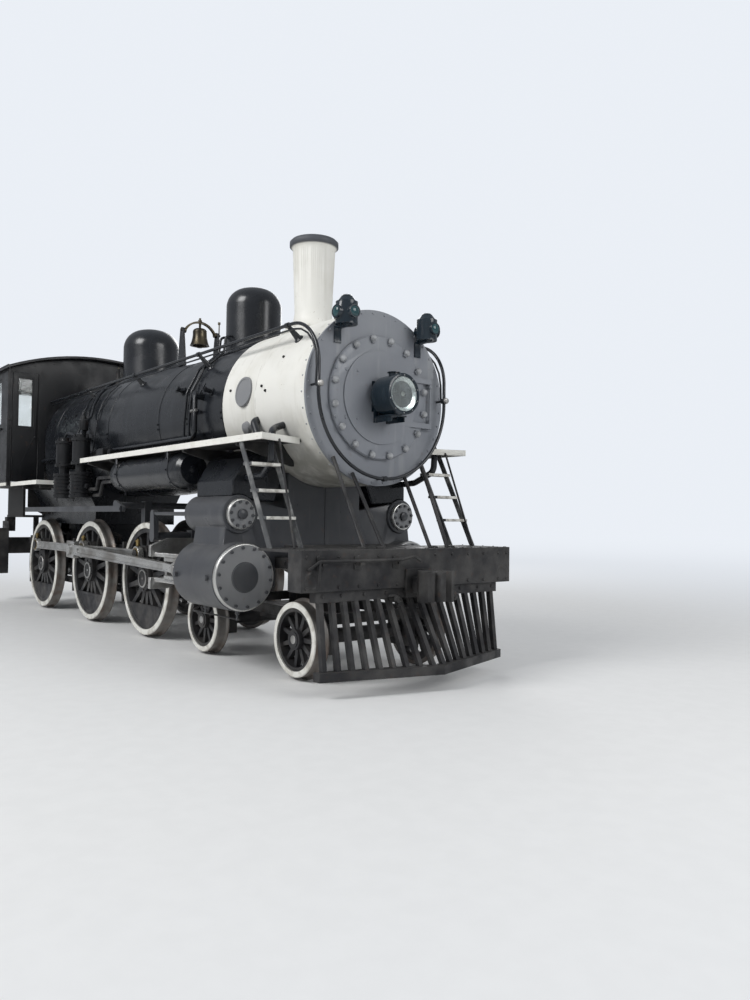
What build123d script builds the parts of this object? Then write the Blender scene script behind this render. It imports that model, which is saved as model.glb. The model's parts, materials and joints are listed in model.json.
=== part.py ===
from build123d import *
from math import acos, asin, atan2, cos, degrees, radians, sin, sqrt
import os

# A ten-wheeled steam locomotive, engine only. Millimetres, +X forward, +Y to its left, +Z up.
# Lengthwise places are stations: the distance behind the smokebox front. Heights are above the rail.

# Overall
NOSE_AHEAD = 1000
REAR_END = 9560
FLANGE_DEPTH = 28
RUN_GAP = 1.0
CLEAR = 6

# Wheels and axles
WHEEL_BACK = 682
TYRE_W = 140
FLANGE_T = 32
DRIVER_R = 711
DRIVER_TYRE_T = 75
TRUCK_R = 355
TRUCK_TYRE_T = 60
RIM_T = 58
RIM_W = 112
DRIVER_SPOKES = 14
TRUCK_SPOKES = 11
DRIVER_AXLES = {"front": 3563, "main": 5490, "rear": 7620}
TRUCK_AXLES = {"front": 177, "rear": 2003}
DRIVER_HUB_R = 165
DRIVER_HUB_OUT = 838
HUB_IN = 652
DRIVER_AXLE_R = 105
TRUCK_HUB_R = 95
TRUCK_AXLE_R = 72

# Cranks and rods
THROW = 305
CRANK_RIGHT = 90
CRANK_LEFT = 180
PIN_R = 62
BOSS_R = 112
ROD_IN = 880
ROD_T = 70
ROD_H = 118
MAIN_ROD_IN = 1032
MAIN_ROD_T = 76
MAIN_ROD_LENGTH = 3360

# Cylinders and valve chests
CYL_OUT = 1070
CYL_H = 915
CYL_R = 336
CYL_FRONT = 700
CYL_LENGTH = 830
COVER_T = 42
CHEST_OUT = 1050
CHEST_H = 1526
CHEST_R = 190
CHEST_FRONT = 810
CHEST_LENGTH = 820
SADDLE_HALF = 470
JOINT_HALF = 0.5
PISTON_ROD_R = 38
GUIDE_HALF_GAP = 120
GUIDE_T = 46
GUIDE_W = 96
GUIDE_REAR = 2660
CROSSHEAD_LENGTH = 400

# Frames
FRAME_IN = 500
FRAME_T = 110
FRAME_TOP = 1090
RAIL_BAR_T = 105
FRAME_BOTTOM = 430
FRAME_FRONT = -420
FRAME_REAR = 9150
PEDESTAL_HALF = 165
BOX_W = 150
TIE_T = 60

# Boiler
BOILER_H = 2685
SMOKEBOX_R = 861
SMOKEBOX_T = 16
SMOKEBOX_REAR = 1542
FRONT_T = 28
COURSE_R = 832
WAISTED_R = 885
TAPER_START = 3150
TAPER_END = 4300
BACKHEAD = 8350
BAND_T = 5
BAND_W = 55
BAND_STATIONS = (1600, 2408, 3193, 4700, 5900, 6900)
FIREBOX_FRONT = 5800
FIREBOX_BOTTOM = 1370
DOOR_R = 610
DOOR_T = 34
DOOR_OPENING_R = 570
DOOR_HINGE_OUT = 668
HINGE_H = 230
HINGE_PIN_R = 11
HINGE_AHEAD = 34
DOG_COUNT = 16
DOG_CIRCLE_R = 575

# Boiler mountings
STACK_S = 1107
STACK_TOP = 4543
STACK_RIM_R = 268
STACK_TOP_R = 233
STACK_BASE_R = 205
STACK_BORE_R = 165
SAND_S = 2368
SAND_R = 332
SAND_TOP = 4292
STEAM_S = 5337
STEAM_R = 406
STEAM_TOP = 4304
DOME_FLANGE_W = 64
DOME_FLANGE_T = 22
DOME_FLARE_R = 48
DOME_CROWN = 0.34
DOME_SHOULDER = 0.7
BELL_S = 3784
BELL_MOUTH_H = 3820
BELL_TALL = 233
BELL_R = 131
BELL_LIP = 36
BELL_PIVOT_H = 3998
BELL_PIN_R = 16
YOKE_HALF = 222
YOKE_RISE = 138
YOKE_T = 24
YOKE_W = 44
BELL_ARM_T = 30
VALVE_SPACING = (760, 990, 1280)
LAMP_OUT = 513
LAMP_H = 3413
LAMP_R = 105
HEADLIGHT_R = 195
RAIL_OUT = 795
RAIL_H = 3356
RAIL_R = 17
RAIL_BEND = 450
FRONT_RAIL_R = 800
FRONT_RAIL_AHEAD = 110
RAIL_POSTS = (398, 2245, 4056, 5781)
RAIL_POST_R = 12
RAIL_FOOT_R = 32
KNOB_R = 26
KNOB_HALF = 26
FRONT_KNOBS = (3, -90, 177)

# Running boards and cab
BOARD_TOP = 2250
BOARD_T = 34
BOARD_OUT = 1297
BOARD_FRONT = 20
BOARD_REAR = 4610
BRACKET_STATIONS = (560, 1680, 3690, 4450)
EDGE_H = 62
EDGE_T = 12
APRON_TOP = 2010
APRON_OUT = 1400
APRON_FRONT = 6130
LADDER_W = 330
PUMP_OUT = 1130
CAB_FRONT = 7442
CAB_LENGTH = 1900
CAB_HALF = 1470
CAB_WALL = 40
CAB_BOTTOM = 1960
ROOF_APEX = 4167
ROOF_EAVE = 3850
ROOF_HALF = 1525
ROOF_T = 34
ROOF_FRONT = 7290
ROOF_REAR = 9510
CAB_DOOR_IN = 1000
CAB_DOOR_OUT = 1400
CAB_DOOR_TOP = 3790
CAB_DOOR_SILL = 2024
WINDOW_BOTTOM = 2905
WINDOW_TOP = 3723
SIDE_WINDOW_W = 560
SIDE_WINDOW_GAPS = (640, 1260)
DECK_H = 1500
FLOOR_T = 40
BEAM_FACE = -620
BEAM_T = 200
BEAM_TOP = 1200
BEAM_H = 330
BEAM_HALF = 1290
DECK_T = 22
COUPLER_H = 890
REAR_CASTING_HALF = 950
REAR_CASTING_H = 290
DRAWBAR_PIN_R = 45
DRAWBAR_PIN_AHEAD = 150

# Derived places
MID = (REAR_END - NOSE_AHEAD) / 2
CAB_REAR = CAB_FRONT + CAB_LENGTH
SIDE_WINDOWS = [CAB_FRONT + gap for gap in SIDE_WINDOW_GAPS]
CYL_REAR = CYL_FRONT + CYL_LENGTH
CHEST_REAR = CHEST_FRONT + CHEST_LENGTH
TRUCK_CENTRE = (TRUCK_AXLES["front"] + TRUCK_AXLES["rear"]) / 2
WHEEL_FACE = WHEEL_BACK + TYRE_W
ROD_OUT = ROD_IN + ROD_T
MAIN_ROD_OUT = MAIN_ROD_IN + MAIN_ROD_T
BOARD_LOW = BOARD_TOP - BOARD_T
LADDER_OUT = BOARD_OUT - EDGE_T - 10
LADDER_IN = LADDER_OUT - LADDER_W
SAND_SEAT = BOILER_H + COURSE_R
CRANKS = {"right": CRANK_RIGHT, "left": CRANK_LEFT}


def station(behind):
    """X of a place this far behind the smokebox front."""
    return MID - behind


def up(height):
    """Z of a place this high above the rail."""
    return FLANGE_DEPTH + height


def side_plane(behind, height, out):
    """Plane on the right side facing out, with its X forward and its Y up."""
    return Plane(origin=(station(behind), -out, up(height)), x_dir=(1, 0, 0), z_dir=(0, -1, 0))


def turned_plane(behind, height, out, angle):
    """The same plane with its X turned this many degrees up from forward."""
    x_dir = (cos(radians(angle)), 0, sin(radians(angle)))
    return Plane(origin=(station(behind), -out, up(height)), x_dir=x_dir, z_dir=(0, -1, 0))


def cross_plane(behind, height=0):
    """Plane across the engine facing forward, with its X to the left and its Y up."""
    return Plane(origin=(station(behind), 0, up(height)), x_dir=(0, 1, 0), z_dir=(1, 0, 0))


def flat_plane(height):
    """Level plane facing up at this height above the rail."""
    return Plane.XY.offset(up(height))


def left_copy(part):
    """The same piece on the engine's left side."""
    return mirror(part, about=Plane.XZ)


def tube(points, radius, bend):
    """Round bar or pipe along straight runs joined by bends; points are station, out, height."""
    route = [(station(s), -out, up(h)) for s, out, h in points]
    with BuildPart() as pipe:
        with BuildLine() as path:
            if len(route) > 2:
                FilletPolyline(*route, radius=bend)
            else:
                Line(*route)
        with BuildSketch(Plane(origin=path.line @ 0, z_dir=path.line % 0)):
            Circle(radius)
        sweep()
    return pipe.part


def round_bar(start, end, radius):
    """Straight round bar between two points of the frame."""
    with BuildPart() as bar:
        with BuildLine() as path:
            Line(start, end)
        with BuildSketch(Plane(origin=path.line @ 0, z_dir=path.line % 0)):
            Circle(radius)
        sweep()
    return bar.part


def block(s0, s1, out0, out1, h0, h1):
    """Plain rectangular bar between two stations, two outs and two heights, on the right side."""
    with BuildPart() as bar:
        with BuildSketch(flat_plane(h0)):
            with Locations(((station(s0) + station(s1)) / 2, -(out0 + out1) / 2)):
                Rectangle(abs(s1 - s0), abs(out1 - out0))
        extrude(amount=h1 - h0)
    return bar.part


def finish(part, name):
    """Label a finished piece and write it."""
    part.label = name
    export_step(part, f"parts/{name}.step")


os.makedirs("parts", exist_ok=True)


# Wheels
def tyre(axle_s, radius, thickness):
    """One flanged tyre on the right side."""
    profile_plane = Plane(origin=(station(axle_s), 0, up(radius)), x_dir=(0, -1, 0), z_dir=(1, 0, 0))
    flange_r = radius + FLANGE_DEPTH
    bore_r = radius - thickness
    root = WHEEL_BACK + FLANGE_T
    with BuildPart() as ring:
        with BuildSketch(profile_plane):
            with BuildLine():
                Polyline((WHEEL_BACK, bore_r), (WHEEL_BACK, flange_r - 8), (WHEEL_BACK + 8, flange_r),
                         (root - 14, flange_r), (root, radius), (WHEEL_FACE - 10, radius - 3),
                         (WHEEL_FACE, radius - 13), (WHEEL_FACE, bore_r), close=True)
            make_face()
        revolve(axis=Axis((station(axle_s), 0, up(radius)), (0, 1, 0)))
    return ring.part


def driver_centre(axle_s, angle, pin_out):
    """Spoked driving wheel centre on the right side, with crank boss, pin and counterweight."""
    centre_r = DRIVER_R - DRIVER_TYRE_T
    inner_r = centre_r - RIM_T
    rim_in = WHEEL_BACK + (TYRE_W - RIM_W) / 2
    spoke_in = rim_in + 22
    spoke_t = 66
    weight_chord = 330

    def crank_plane(out):
        return turned_plane(axle_s, DRIVER_R, out, angle)

    with BuildPart() as wheel:
        with BuildSketch(crank_plane(rim_in)):
            Circle(centre_r)
            Circle(inner_r, mode=Mode.SUBTRACT)
        extrude(amount=RIM_W)
        with BuildSketch(crank_plane(spoke_in)):
            with PolarLocations(0, DRIVER_SPOKES):
                Polygon((DRIVER_HUB_R - 30, -38), (inner_r + 20, -27), (inner_r + 20, 27),
                        (DRIVER_HUB_R - 30, 38), align=None)
        extrude(amount=spoke_t)
        with BuildSketch(crank_plane(rim_in + 6)):
            Circle(inner_r + 10)
            with Locations((-weight_chord - inner_r, 0)):
                Rectangle(2 * inner_r, 3 * inner_r, mode=Mode.INTERSECT)
        extrude(amount=RIM_W - 12)
        with BuildSketch(crank_plane(HUB_IN)):
            Circle(DRIVER_HUB_R)
        extrude(amount=DRIVER_HUB_OUT - HUB_IN)
        with BuildSketch(crank_plane(rim_in)):
            Circle(DRIVER_HUB_R)
            with Locations((THROW, 0)):
                Circle(BOSS_R)
            make_hull()
        extrude(amount=DRIVER_HUB_OUT - rim_in)
        with BuildSketch(crank_plane(DRIVER_HUB_OUT)):
            with Locations((THROW, 0)):
                Circle(BOSS_R - 20)
        extrude(amount=ROD_IN - CLEAR - DRIVER_HUB_OUT)
        with BuildSketch(crank_plane(DRIVER_HUB_OUT)):
            with Locations((THROW, 0)):
                Circle(PIN_R)
        extrude(amount=pin_out - DRIVER_HUB_OUT)
        with BuildSketch(crank_plane(0)):
            Circle(DRIVER_AXLE_R)
        extrude(amount=DRIVER_HUB_OUT + 12)
    return wheel.part


def truck_wheel(axle_s):
    """Spoked engine truck wheel with its flanged tread, and half of its axle."""
    centre_r = TRUCK_R - TRUCK_TYRE_T
    inner_r = centre_r - 34
    rim_in = WHEEL_BACK + (TYRE_W - RIM_W) / 2

    def wheel_plane(out):
        return side_plane(axle_s, TRUCK_R, out)

    with BuildPart() as wheel:
        with BuildSketch(wheel_plane(rim_in)):
            Circle(centre_r + 1)
            Circle(inner_r, mode=Mode.SUBTRACT)
        extrude(amount=RIM_W)
        with BuildSketch(wheel_plane(rim_in + 26)):
            with PolarLocations(0, TRUCK_SPOKES):
                Polygon((TRUCK_HUB_R - 20, -24), (inner_r + 12, -18), (inner_r + 12, 18),
                        (TRUCK_HUB_R - 20, 24), align=None)
        extrude(amount=52)
        with BuildSketch(wheel_plane(HUB_IN)):
            Circle(TRUCK_HUB_R)
        extrude(amount=WHEEL_FACE - HUB_IN)
        with BuildSketch(wheel_plane(0)):
            Circle(TRUCK_AXLE_R)
        extrude(amount=WHEEL_FACE + 8)
        add(tyre(axle_s, TRUCK_R, TRUCK_TYRE_T))
    return wheel.part


PIN_ENDS = {"front": ROD_OUT + 14, "main": MAIN_ROD_IN - CLEAR, "rear": ROD_OUT + 14}
for place, axle_s in DRIVER_AXLES.items():
    with BuildPart() as driver_centres:
        add(driver_centre(axle_s, CRANKS["right"], PIN_ENDS[place]))
        add(left_copy(driver_centre(axle_s, CRANKS["left"], PIN_ENDS[place])))
    finish(driver_centres.part, f"driver_centres_{place}")
    with BuildPart() as driver_tyres:
        add(tyre(axle_s, DRIVER_R, DRIVER_TYRE_T))
        mirror(about=Plane.XZ)
    finish(driver_tyres.part, f"driver_tyres_{place}")

for place, axle_s in TRUCK_AXLES.items():
    with BuildPart() as truck_wheels:
        add(truck_wheel(axle_s))
        mirror(about=Plane.XZ)
    finish(truck_wheels.part, f"truck_wheels_{place}")


# Side rods
def crank_place(axle_s, angle):
    """Station and height of a crankpin at rest."""
    return axle_s - THROW * cos(radians(angle)), DRIVER_R + THROW * sin(radians(angle))


def side_rod(angle):
    """Coupling rod on the right side, fluted between its eyes."""
    pins = [crank_place(axle_s, angle) for axle_s in DRIVER_AXLES.values()]
    eye_radii = (104, 124, 104)
    knuckle_s = pins[1][0] + 265
    with BuildPart() as rod:
        for (pin_s, pin_h), eye_r in zip(pins, eye_radii):
            with BuildSketch(side_plane(pin_s, pin_h, ROD_IN)):
                Circle(eye_r)
            extrude(amount=ROD_T)
        with BuildSketch(side_plane(knuckle_s, pins[1][1], ROD_IN)):
            Circle(84)
        extrude(amount=ROD_T)
        for (s0, h0), (s1, h1) in zip(pins, pins[1:]):
            with BuildSketch(side_plane((s0 + s1) / 2, h0, ROD_IN + 6)):
                Rectangle(s1 - s0, ROD_H)
            extrude(amount=ROD_T - 12)
        for (s0, h0), (s1, h1) in zip(pins, pins[1:]):
            near = s0 + 190
            far = s1 - 190
            if s0 == pins[1][0]:
                near = knuckle_s + 130
            for out in (ROD_IN + 6, ROD_OUT - 24):
                with BuildSketch(side_plane((near + far) / 2, h0, out)):
                    SlotOverall(far - near, ROD_H - 44)
                extrude(amount=18, mode=Mode.SUBTRACT)
        for pin_s, pin_h in pins:
            with BuildSketch(side_plane(pin_s, pin_h, ROD_IN)):
                Circle(PIN_R + RUN_GAP)
            extrude(amount=ROD_T, mode=Mode.SUBTRACT)
    return rod.part


with BuildPart() as side_rod_right:
    add(side_rod(CRANK_RIGHT))
finish(side_rod_right.part, "side_rod_right")

with BuildPart() as side_rod_left:
    add(left_copy(side_rod(CRANK_LEFT)))
finish(side_rod_left.part, "side_rod_left")


# Main rods, crossheads and guides
def crosshead_station(angle):
    """Station of the crosshead pin when the main crank stands at this angle."""
    pin_s, pin_h = crank_place(DRIVER_AXLES["main"], angle)
    return pin_s - sqrt(MAIN_ROD_LENGTH ** 2 - (pin_h - CYL_H) ** 2)


def main_rod(angle):
    """Main rod on the right side, from the crosshead pin to the main crankpin."""
    pin_s, pin_h = crank_place(DRIVER_AXLES["main"], angle)
    head_s = crosshead_station(angle)
    slope = degrees(atan2(CYL_H - pin_h, pin_s - head_s))

    def rod_plane(out):
        """X runs forward along the rod from the crankpin."""
        return turned_plane(pin_s, pin_h, out, slope)

    with BuildPart() as rod:
        with BuildSketch(rod_plane(MAIN_ROD_IN)):
            Polygon((60, -72), (MAIN_ROD_LENGTH - 40, -46), (MAIN_ROD_LENGTH - 40, 46), (60, 72), align=None)
            with Locations((MAIN_ROD_LENGTH, 0)):
                Circle(78)
            with Locations((10, 0)):
                RectangleRounded(300, 236, 26)
        extrude(amount=MAIN_ROD_T)
        with BuildSketch(rod_plane(MAIN_ROD_OUT - 20)):
            with Locations((MAIN_ROD_LENGTH / 2, 0)):
                SlotOverall(MAIN_ROD_LENGTH - 560, 62)
        extrude(amount=20, mode=Mode.SUBTRACT)
        with BuildSketch(rod_plane(MAIN_ROD_OUT)):
            Circle(74)
        extrude(amount=34)
        with BuildSketch(rod_plane(MAIN_ROD_IN)):
            with Locations((MAIN_ROD_LENGTH, 0)):
                Circle(46)
        extrude(amount=MAIN_ROD_T, mode=Mode.SUBTRACT)
    return rod.part


with BuildPart() as main_rods:
    add(main_rod(CRANK_RIGHT))
    add(left_copy(main_rod(CRANK_LEFT)))
finish(main_rods.part, "main_rods")


def crosshead(angle):
    """Crosshead with slippers, wrist pin and piston rod on the right side."""
    head_s = crosshead_station(angle)
    half = CROSSHEAD_LENGTH / 2
    cheek_in = MAIN_ROD_IN - 44
    slipper_t = 40
    with BuildPart() as head:
        for sign in (1, -1):
            inner = CYL_H + sign * (GUIDE_HALF_GAP - slipper_t)
            outer = CYL_H + sign * (GUIDE_HALF_GAP - RUN_GAP)
            add(block(head_s - half, head_s + half, cheek_in, CYL_OUT + 62,
                      min(inner, outer), max(inner, outer)))
        with BuildSketch(side_plane(head_s, CYL_H, cheek_in)):
            with BuildLine():
                Polyline((-half + 40, -GUIDE_HALF_GAP + 10), (half - 20, -GUIDE_HALF_GAP + 10),
                         (half - 20, GUIDE_HALF_GAP - 10), (-half + 40, GUIDE_HALF_GAP - 10), close=True)
            make_face()
        extrude(amount=MAIN_ROD_IN - CLEAR - cheek_in)
        with BuildSketch(side_plane(head_s, CYL_H, cheek_in)):
            Circle(45)
        extrude(amount=MAIN_ROD_OUT + 22 - cheek_in)
        add(block(head_s - half, head_s - 95, cheek_in, CYL_OUT + 40, CYL_H - 70, CYL_H + 70))
        rod_length = head_s - half - (CYL_REAR + COVER_T + RUN_GAP)
        rod_end = (station(head_s - half), -CYL_OUT, up(CYL_H))
        with BuildSketch(Plane(origin=rod_end, x_dir=(0, 1, 0), z_dir=(1, 0, 0))):
            Circle(PISTON_ROD_R)
        extrude(amount=rod_length)
    return head.part


with BuildPart() as crossheads:
    add(crosshead(CRANK_RIGHT))
    add(left_copy(crosshead(CRANK_LEFT)))
finish(crossheads.part, "crossheads")

with BuildPart() as guides:
    guide_front = CYL_REAR + COVER_T + 10
    yoke_front = GUIDE_REAR - 60
    for sign in (1, -1):
        low = CYL_H + sign * GUIDE_HALF_GAP - (GUIDE_T if sign < 0 else 0)
        add(block(guide_front, GUIDE_REAR, CYL_OUT - GUIDE_W / 2, CYL_OUT + GUIDE_W / 2, low, low + GUIDE_T))
    with BuildSketch(cross_plane(GUIDE_REAR)):
        with BuildLine():
            Polyline((-FRAME_IN - FRAME_T, CYL_H - 60), (-CYL_OUT + 120, CYL_H - 250),
                     (-CYL_OUT - 100, CYL_H - 250), (-CYL_OUT - 100, CYL_H + 250),
                     (-CYL_OUT + 120, CYL_H + 330), (-FRAME_IN - FRAME_T, CYL_H + 330), close=True)
        make_face()
        with Locations((-CYL_OUT, CYL_H)):
            Rectangle(GUIDE_W + 110, 2 * GUIDE_HALF_GAP, mode=Mode.SUBTRACT)
    extrude(amount=60)
    mirror(about=Plane.XZ)
finish(guides.part, "guides")


# Cylinder castings, each with its valve chest and half of the saddle
def cylinder_casting():
    """Right-hand casting: barrel, chest and the half saddle that seats the smokebox."""
    with BuildPart() as casting:
        with BuildSketch(cross_plane(CYL_REAR, CYL_H)):
            with Locations((-CYL_OUT, 0)):
                Circle(CYL_R)
        extrude(amount=CYL_LENGTH)
        with BuildSketch(cross_plane(CHEST_REAR, CHEST_H)):
            with Locations((-CHEST_OUT, 0)):
                Circle(CHEST_R)
        extrude(amount=CHEST_LENGTH)
        web_front = max(CYL_FRONT, CHEST_FRONT) + 30
        web_rear = CYL_REAR - 60
        with BuildSketch(cross_plane(web_rear)):
            with BuildLine():
                Polyline((-CYL_OUT - 190, CYL_H), (-CHEST_OUT - 120, CHEST_H),
                         (-CHEST_OUT + 60, CHEST_H + 150), (-SADDLE_HALF, CHEST_H + 60),
                         (-SADDLE_HALF, BOILER_H - 600), (-JOINT_HALF, BOILER_H - 600),
                         (-JOINT_HALF, FRAME_TOP + 2), (-FRAME_IN - FRAME_T - 4, FRAME_TOP + 2),
                         (-FRAME_IN - FRAME_T - 4, CYL_H - 120), (-CYL_OUT + 150, CYL_H - 200), close=True)
            make_face()
            with Locations((0, BOILER_H)):
                Circle(SMOKEBOX_R, mode=Mode.SUBTRACT)
        extrude(amount=web_rear - web_front)
    return casting.part


with BuildPart() as cylinders:
    add(cylinder_casting())
    mirror(about=Plane.XZ)
finish(cylinders.part, "cylinders")

with BuildPart() as cylinder_covers:
    COVERS = (
        # station of the joint face, out, height, radius, thickness towards the front
        (CYL_FRONT, CYL_OUT, CYL_H, CYL_R - 12, COVER_T),
        (CYL_REAR + COVER_T, CYL_OUT, CYL_H, CYL_R - 40, COVER_T),
        (CHEST_FRONT, CHEST_OUT, CHEST_H, 150, COVER_T),
        (CHEST_REAR + COVER_T, CHEST_OUT, CHEST_H, 140, COVER_T),
    )
    for joint_s, out, height, radius, thickness in COVERS:
        with BuildSketch(cross_plane(joint_s, height)):
            with Locations((-out, 0)):
                Circle(radius)
        extrude(amount=thickness)
        chamfer(cylinder_covers.edges(Select.LAST).filter_by(GeomType.CIRCLE).group_by(Axis.X)[-1], 12)
    mirror(about=Plane.XZ)
finish(cylinder_covers.part, "cylinder_covers")

with BuildPart() as steam_pipes:
    pipe_front = CHEST_FRONT + 20
    pipe_rear = CHEST_REAR - 50
    pipe_top = BOARD_LOW - 2
    with BuildSketch(cross_plane(pipe_rear)):
        with BuildLine():
            Polyline((-CHEST_OUT - 75, CHEST_H + CHEST_R - 40), (-CHEST_OUT - 75, pipe_top - 360),
                     (-CHEST_OUT + 60, pipe_top - 128), (-CHEST_OUT + 350, pipe_top),
                     (-SADDLE_HALF - 30, BOILER_H - 660), (-SADDLE_HALF - 170, CHEST_H + 130),
                     (-CHEST_OUT + 60, CHEST_H + 153), close=True)
        make_face()
        with Locations((0, BOILER_H)):
            Circle(SMOKEBOX_R, mode=Mode.SUBTRACT)
        with Locations((-CHEST_OUT, CHEST_H)):
            Circle(CHEST_R, mode=Mode.SUBTRACT)
    extrude(amount=pipe_rear - pipe_front)
    mirror(about=Plane.XZ)
finish(steam_pipes.part, "steam_pipes")


# Bar frames
def frame_bar():
    """One bar frame on the right side with a pedestal at each driving axle."""
    with BuildPart() as bars:
        top_mid = FRAME_TOP - RAIL_BAR_T / 2
        add(block(FRAME_FRONT, FRAME_REAR, FRAME_IN, FRAME_IN + FRAME_T, FRAME_TOP - RAIL_BAR_T, FRAME_TOP))
        first = DRIVER_AXLES["front"] - PEDESTAL_HALF - 120
        last = DRIVER_AXLES["rear"] + PEDESTAL_HALF + 120
        add(block(first, last, FRAME_IN, FRAME_IN + FRAME_T, FRAME_BOTTOM, FRAME_BOTTOM + 80))
        for axle_s in DRIVER_AXLES.values():
            for sign in (-1, 1):
                with BuildSketch(side_plane(axle_s, 0, FRAME_IN)):
                    with BuildLine():
                        Polyline((sign * PEDESTAL_HALF, FRAME_BOTTOM + 40), (sign * PEDESTAL_HALF, top_mid),
                                 (sign * (PEDESTAL_HALF + 190), top_mid),
                                 (sign * (PEDESTAL_HALF + 95), FRAME_BOTTOM + 40), close=True)
                    make_face()
                extrude(amount=FRAME_T)
    return bars.part


with BuildPart() as frames:
    add(frame_bar())
    mirror(about=Plane.XZ)
finish(frames.part, "frames")

with BuildPart() as cross_ties:
    TIES = (
        # station, height of the underside, depth
        (-330, 900, 180), (2400, 900, 180), (4500, 780, 240), (5660, 560, 200), (8500, 820, 200),
    )
    for tie_s, low, depth in TIES:
        add(block(tie_s, tie_s + TIE_T, -FRAME_IN, FRAME_IN, low, low + depth))
finish(cross_ties.part, "cross_ties")


# Axle boxes, springs and equalizers
def leaf_spring(axle_s, height):
    """Leaf spring pack seen from the side, arched over its axle box."""
    half = 430
    with BuildPart() as spring:
        with BuildSketch(side_plane(axle_s, height, FRAME_IN + 10)):
            with BuildLine():
                ThreePointArc((-half, 0), (0, 62), (half, 0))
                Line((half, 0), (half, -24))
                Line((half, -24), (70, -24))
                Line((70, -24), (60, -60))
                Line((60, -60), (-60, -60))
                Line((-60, -60), (-70, -24))
                Line((-70, -24), (-half, -24))
                Line((-half, -24), (-half, 0))
            make_face()
        extrude(amount=FRAME_T - 20)
    return spring.part


with BuildPart() as spring_rigging:
    spring_h = FRAME_TOP + 120
    for axle_s in DRIVER_AXLES.values():
        with BuildSketch(side_plane(axle_s, DRIVER_R, FRAME_IN - 20)):
            with Locations((0, 5)):
                Rectangle(2 * PEDESTAL_HALF - 2, 2 * PEDESTAL_HALF + 40)
            Circle(DRIVER_AXLE_R + RUN_GAP, mode=Mode.SUBTRACT)
        extrude(amount=BOX_W)
        add(leaf_spring(axle_s, spring_h))
        for sign in (-1, 1):
            add(block(axle_s + sign * 420 - 14, axle_s + sign * 420 + 14, FRAME_IN + 30, FRAME_IN + 80,
                      FRAME_TOP + 1, spring_h - 12))
    mirror(about=Plane.XZ)
finish(spring_rigging.part, "spring_rigging")

with BuildPart() as brakes:
    shoe_gap = 10
    shoe_t = 55
    hanger_top = FRAME_TOP + 60
    hanger_low = 350
    for axle_s in DRIVER_AXLES.values():
        with BuildSketch(side_plane(axle_s, DRIVER_R, WHEEL_BACK + FLANGE_T + 8)):
            Circle(DRIVER_R + shoe_gap + shoe_t)
            Circle(DRIVER_R + shoe_gap, mode=Mode.SUBTRACT)
            with Locations((-DRIVER_R, 0)):
                Rectangle(400, 360, mode=Mode.INTERSECT)
        extrude(amount=84)
        hanger_s = axle_s + DRIVER_R + shoe_gap + shoe_t + 18
        add(block(hanger_s - 22, hanger_s + 22, WHEEL_BACK + FLANGE_T + 30, WHEEL_BACK + FLANGE_T + 70,
                  hanger_low, hanger_top))
        add(block(hanger_s - 26, hanger_s + 26, FRAME_IN + FRAME_T, WHEEL_BACK + FLANGE_T + 70,
                  hanger_top - 52, hanger_top))
        add(block(hanger_s - 24, hanger_s + 24, 0, WHEEL_BACK + FLANGE_T + 50, hanger_low, hanger_low + 56))
    mirror(about=Plane.XZ)
finish(brakes.part, "brakes")

with BuildPart() as rear_casting:
    casting_length = 560
    buffer_t = 180
    pocket_depth = 260
    with BuildSketch(flat_plane(FRAME_TOP - REAR_CASTING_H)):
        with Locations((station(REAR_END - casting_length / 2), 0)):
            Rectangle(casting_length, 2 * (FRAME_IN - 2))
        with Locations((station(REAR_END - buffer_t / 2), 0)):
            Rectangle(buffer_t, 2 * REAR_CASTING_HALF)
    extrude(amount=REAR_CASTING_H)
    with BuildSketch(flat_plane(FRAME_TOP - REAR_CASTING_H + 80)):
        with Locations((station(REAR_END - pocket_depth / 2), 0)):
            Rectangle(pocket_depth, 260)
    extrude(amount=REAR_CASTING_H - 170, mode=Mode.SUBTRACT)
    with BuildSketch(flat_plane(FRAME_TOP - REAR_CASTING_H)):
        with Locations((station(REAR_END - DRAWBAR_PIN_AHEAD), 0)):
            Circle(DRAWBAR_PIN_R)
    extrude(amount=REAR_CASTING_H, mode=Mode.SUBTRACT)
finish(rear_casting.part, "rear_casting")


# Engine truck
with BuildPart() as truck_frame:
    bar_in = 470
    bar_t = 90
    truck_top = 600
    truck_low = 500
    front_s = TRUCK_AXLES["front"] - 260
    rear_s = TRUCK_AXLES["rear"] + 260
    add(block(front_s, rear_s, bar_in, bar_in + bar_t, truck_low, truck_top))
    for axle_s in TRUCK_AXLES.values():
        with BuildSketch(side_plane(axle_s, TRUCK_R, bar_in - 10)):
            with Locations((0, 10)):
                Rectangle(300, 330)
            Circle(TRUCK_AXLE_R + RUN_GAP, mode=Mode.SUBTRACT)
        extrude(amount=bar_t + 30)
    mirror(about=Plane.XZ)
    for end_s in (front_s, rear_s - 70):
        add(block(end_s, end_s + 70, -bar_in - 5, bar_in + 5, truck_low, truck_top))
    add(block(TRUCK_CENTRE - 260, TRUCK_CENTRE + 260, -bar_in - 5, bar_in + 5,
              truck_low - 60, truck_top - 10))
    with BuildSketch(flat_plane(truck_top - 20)):
        with Locations((station(TRUCK_CENTRE), 0)):
            Circle(230)
    extrude(amount=180)
    with BuildSketch(flat_plane(truck_top)):
        with Locations((station(TRUCK_CENTRE), 0)):
            Circle(80)
    extrude(amount=330)
finish(truck_frame.part, "truck_frame")


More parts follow.
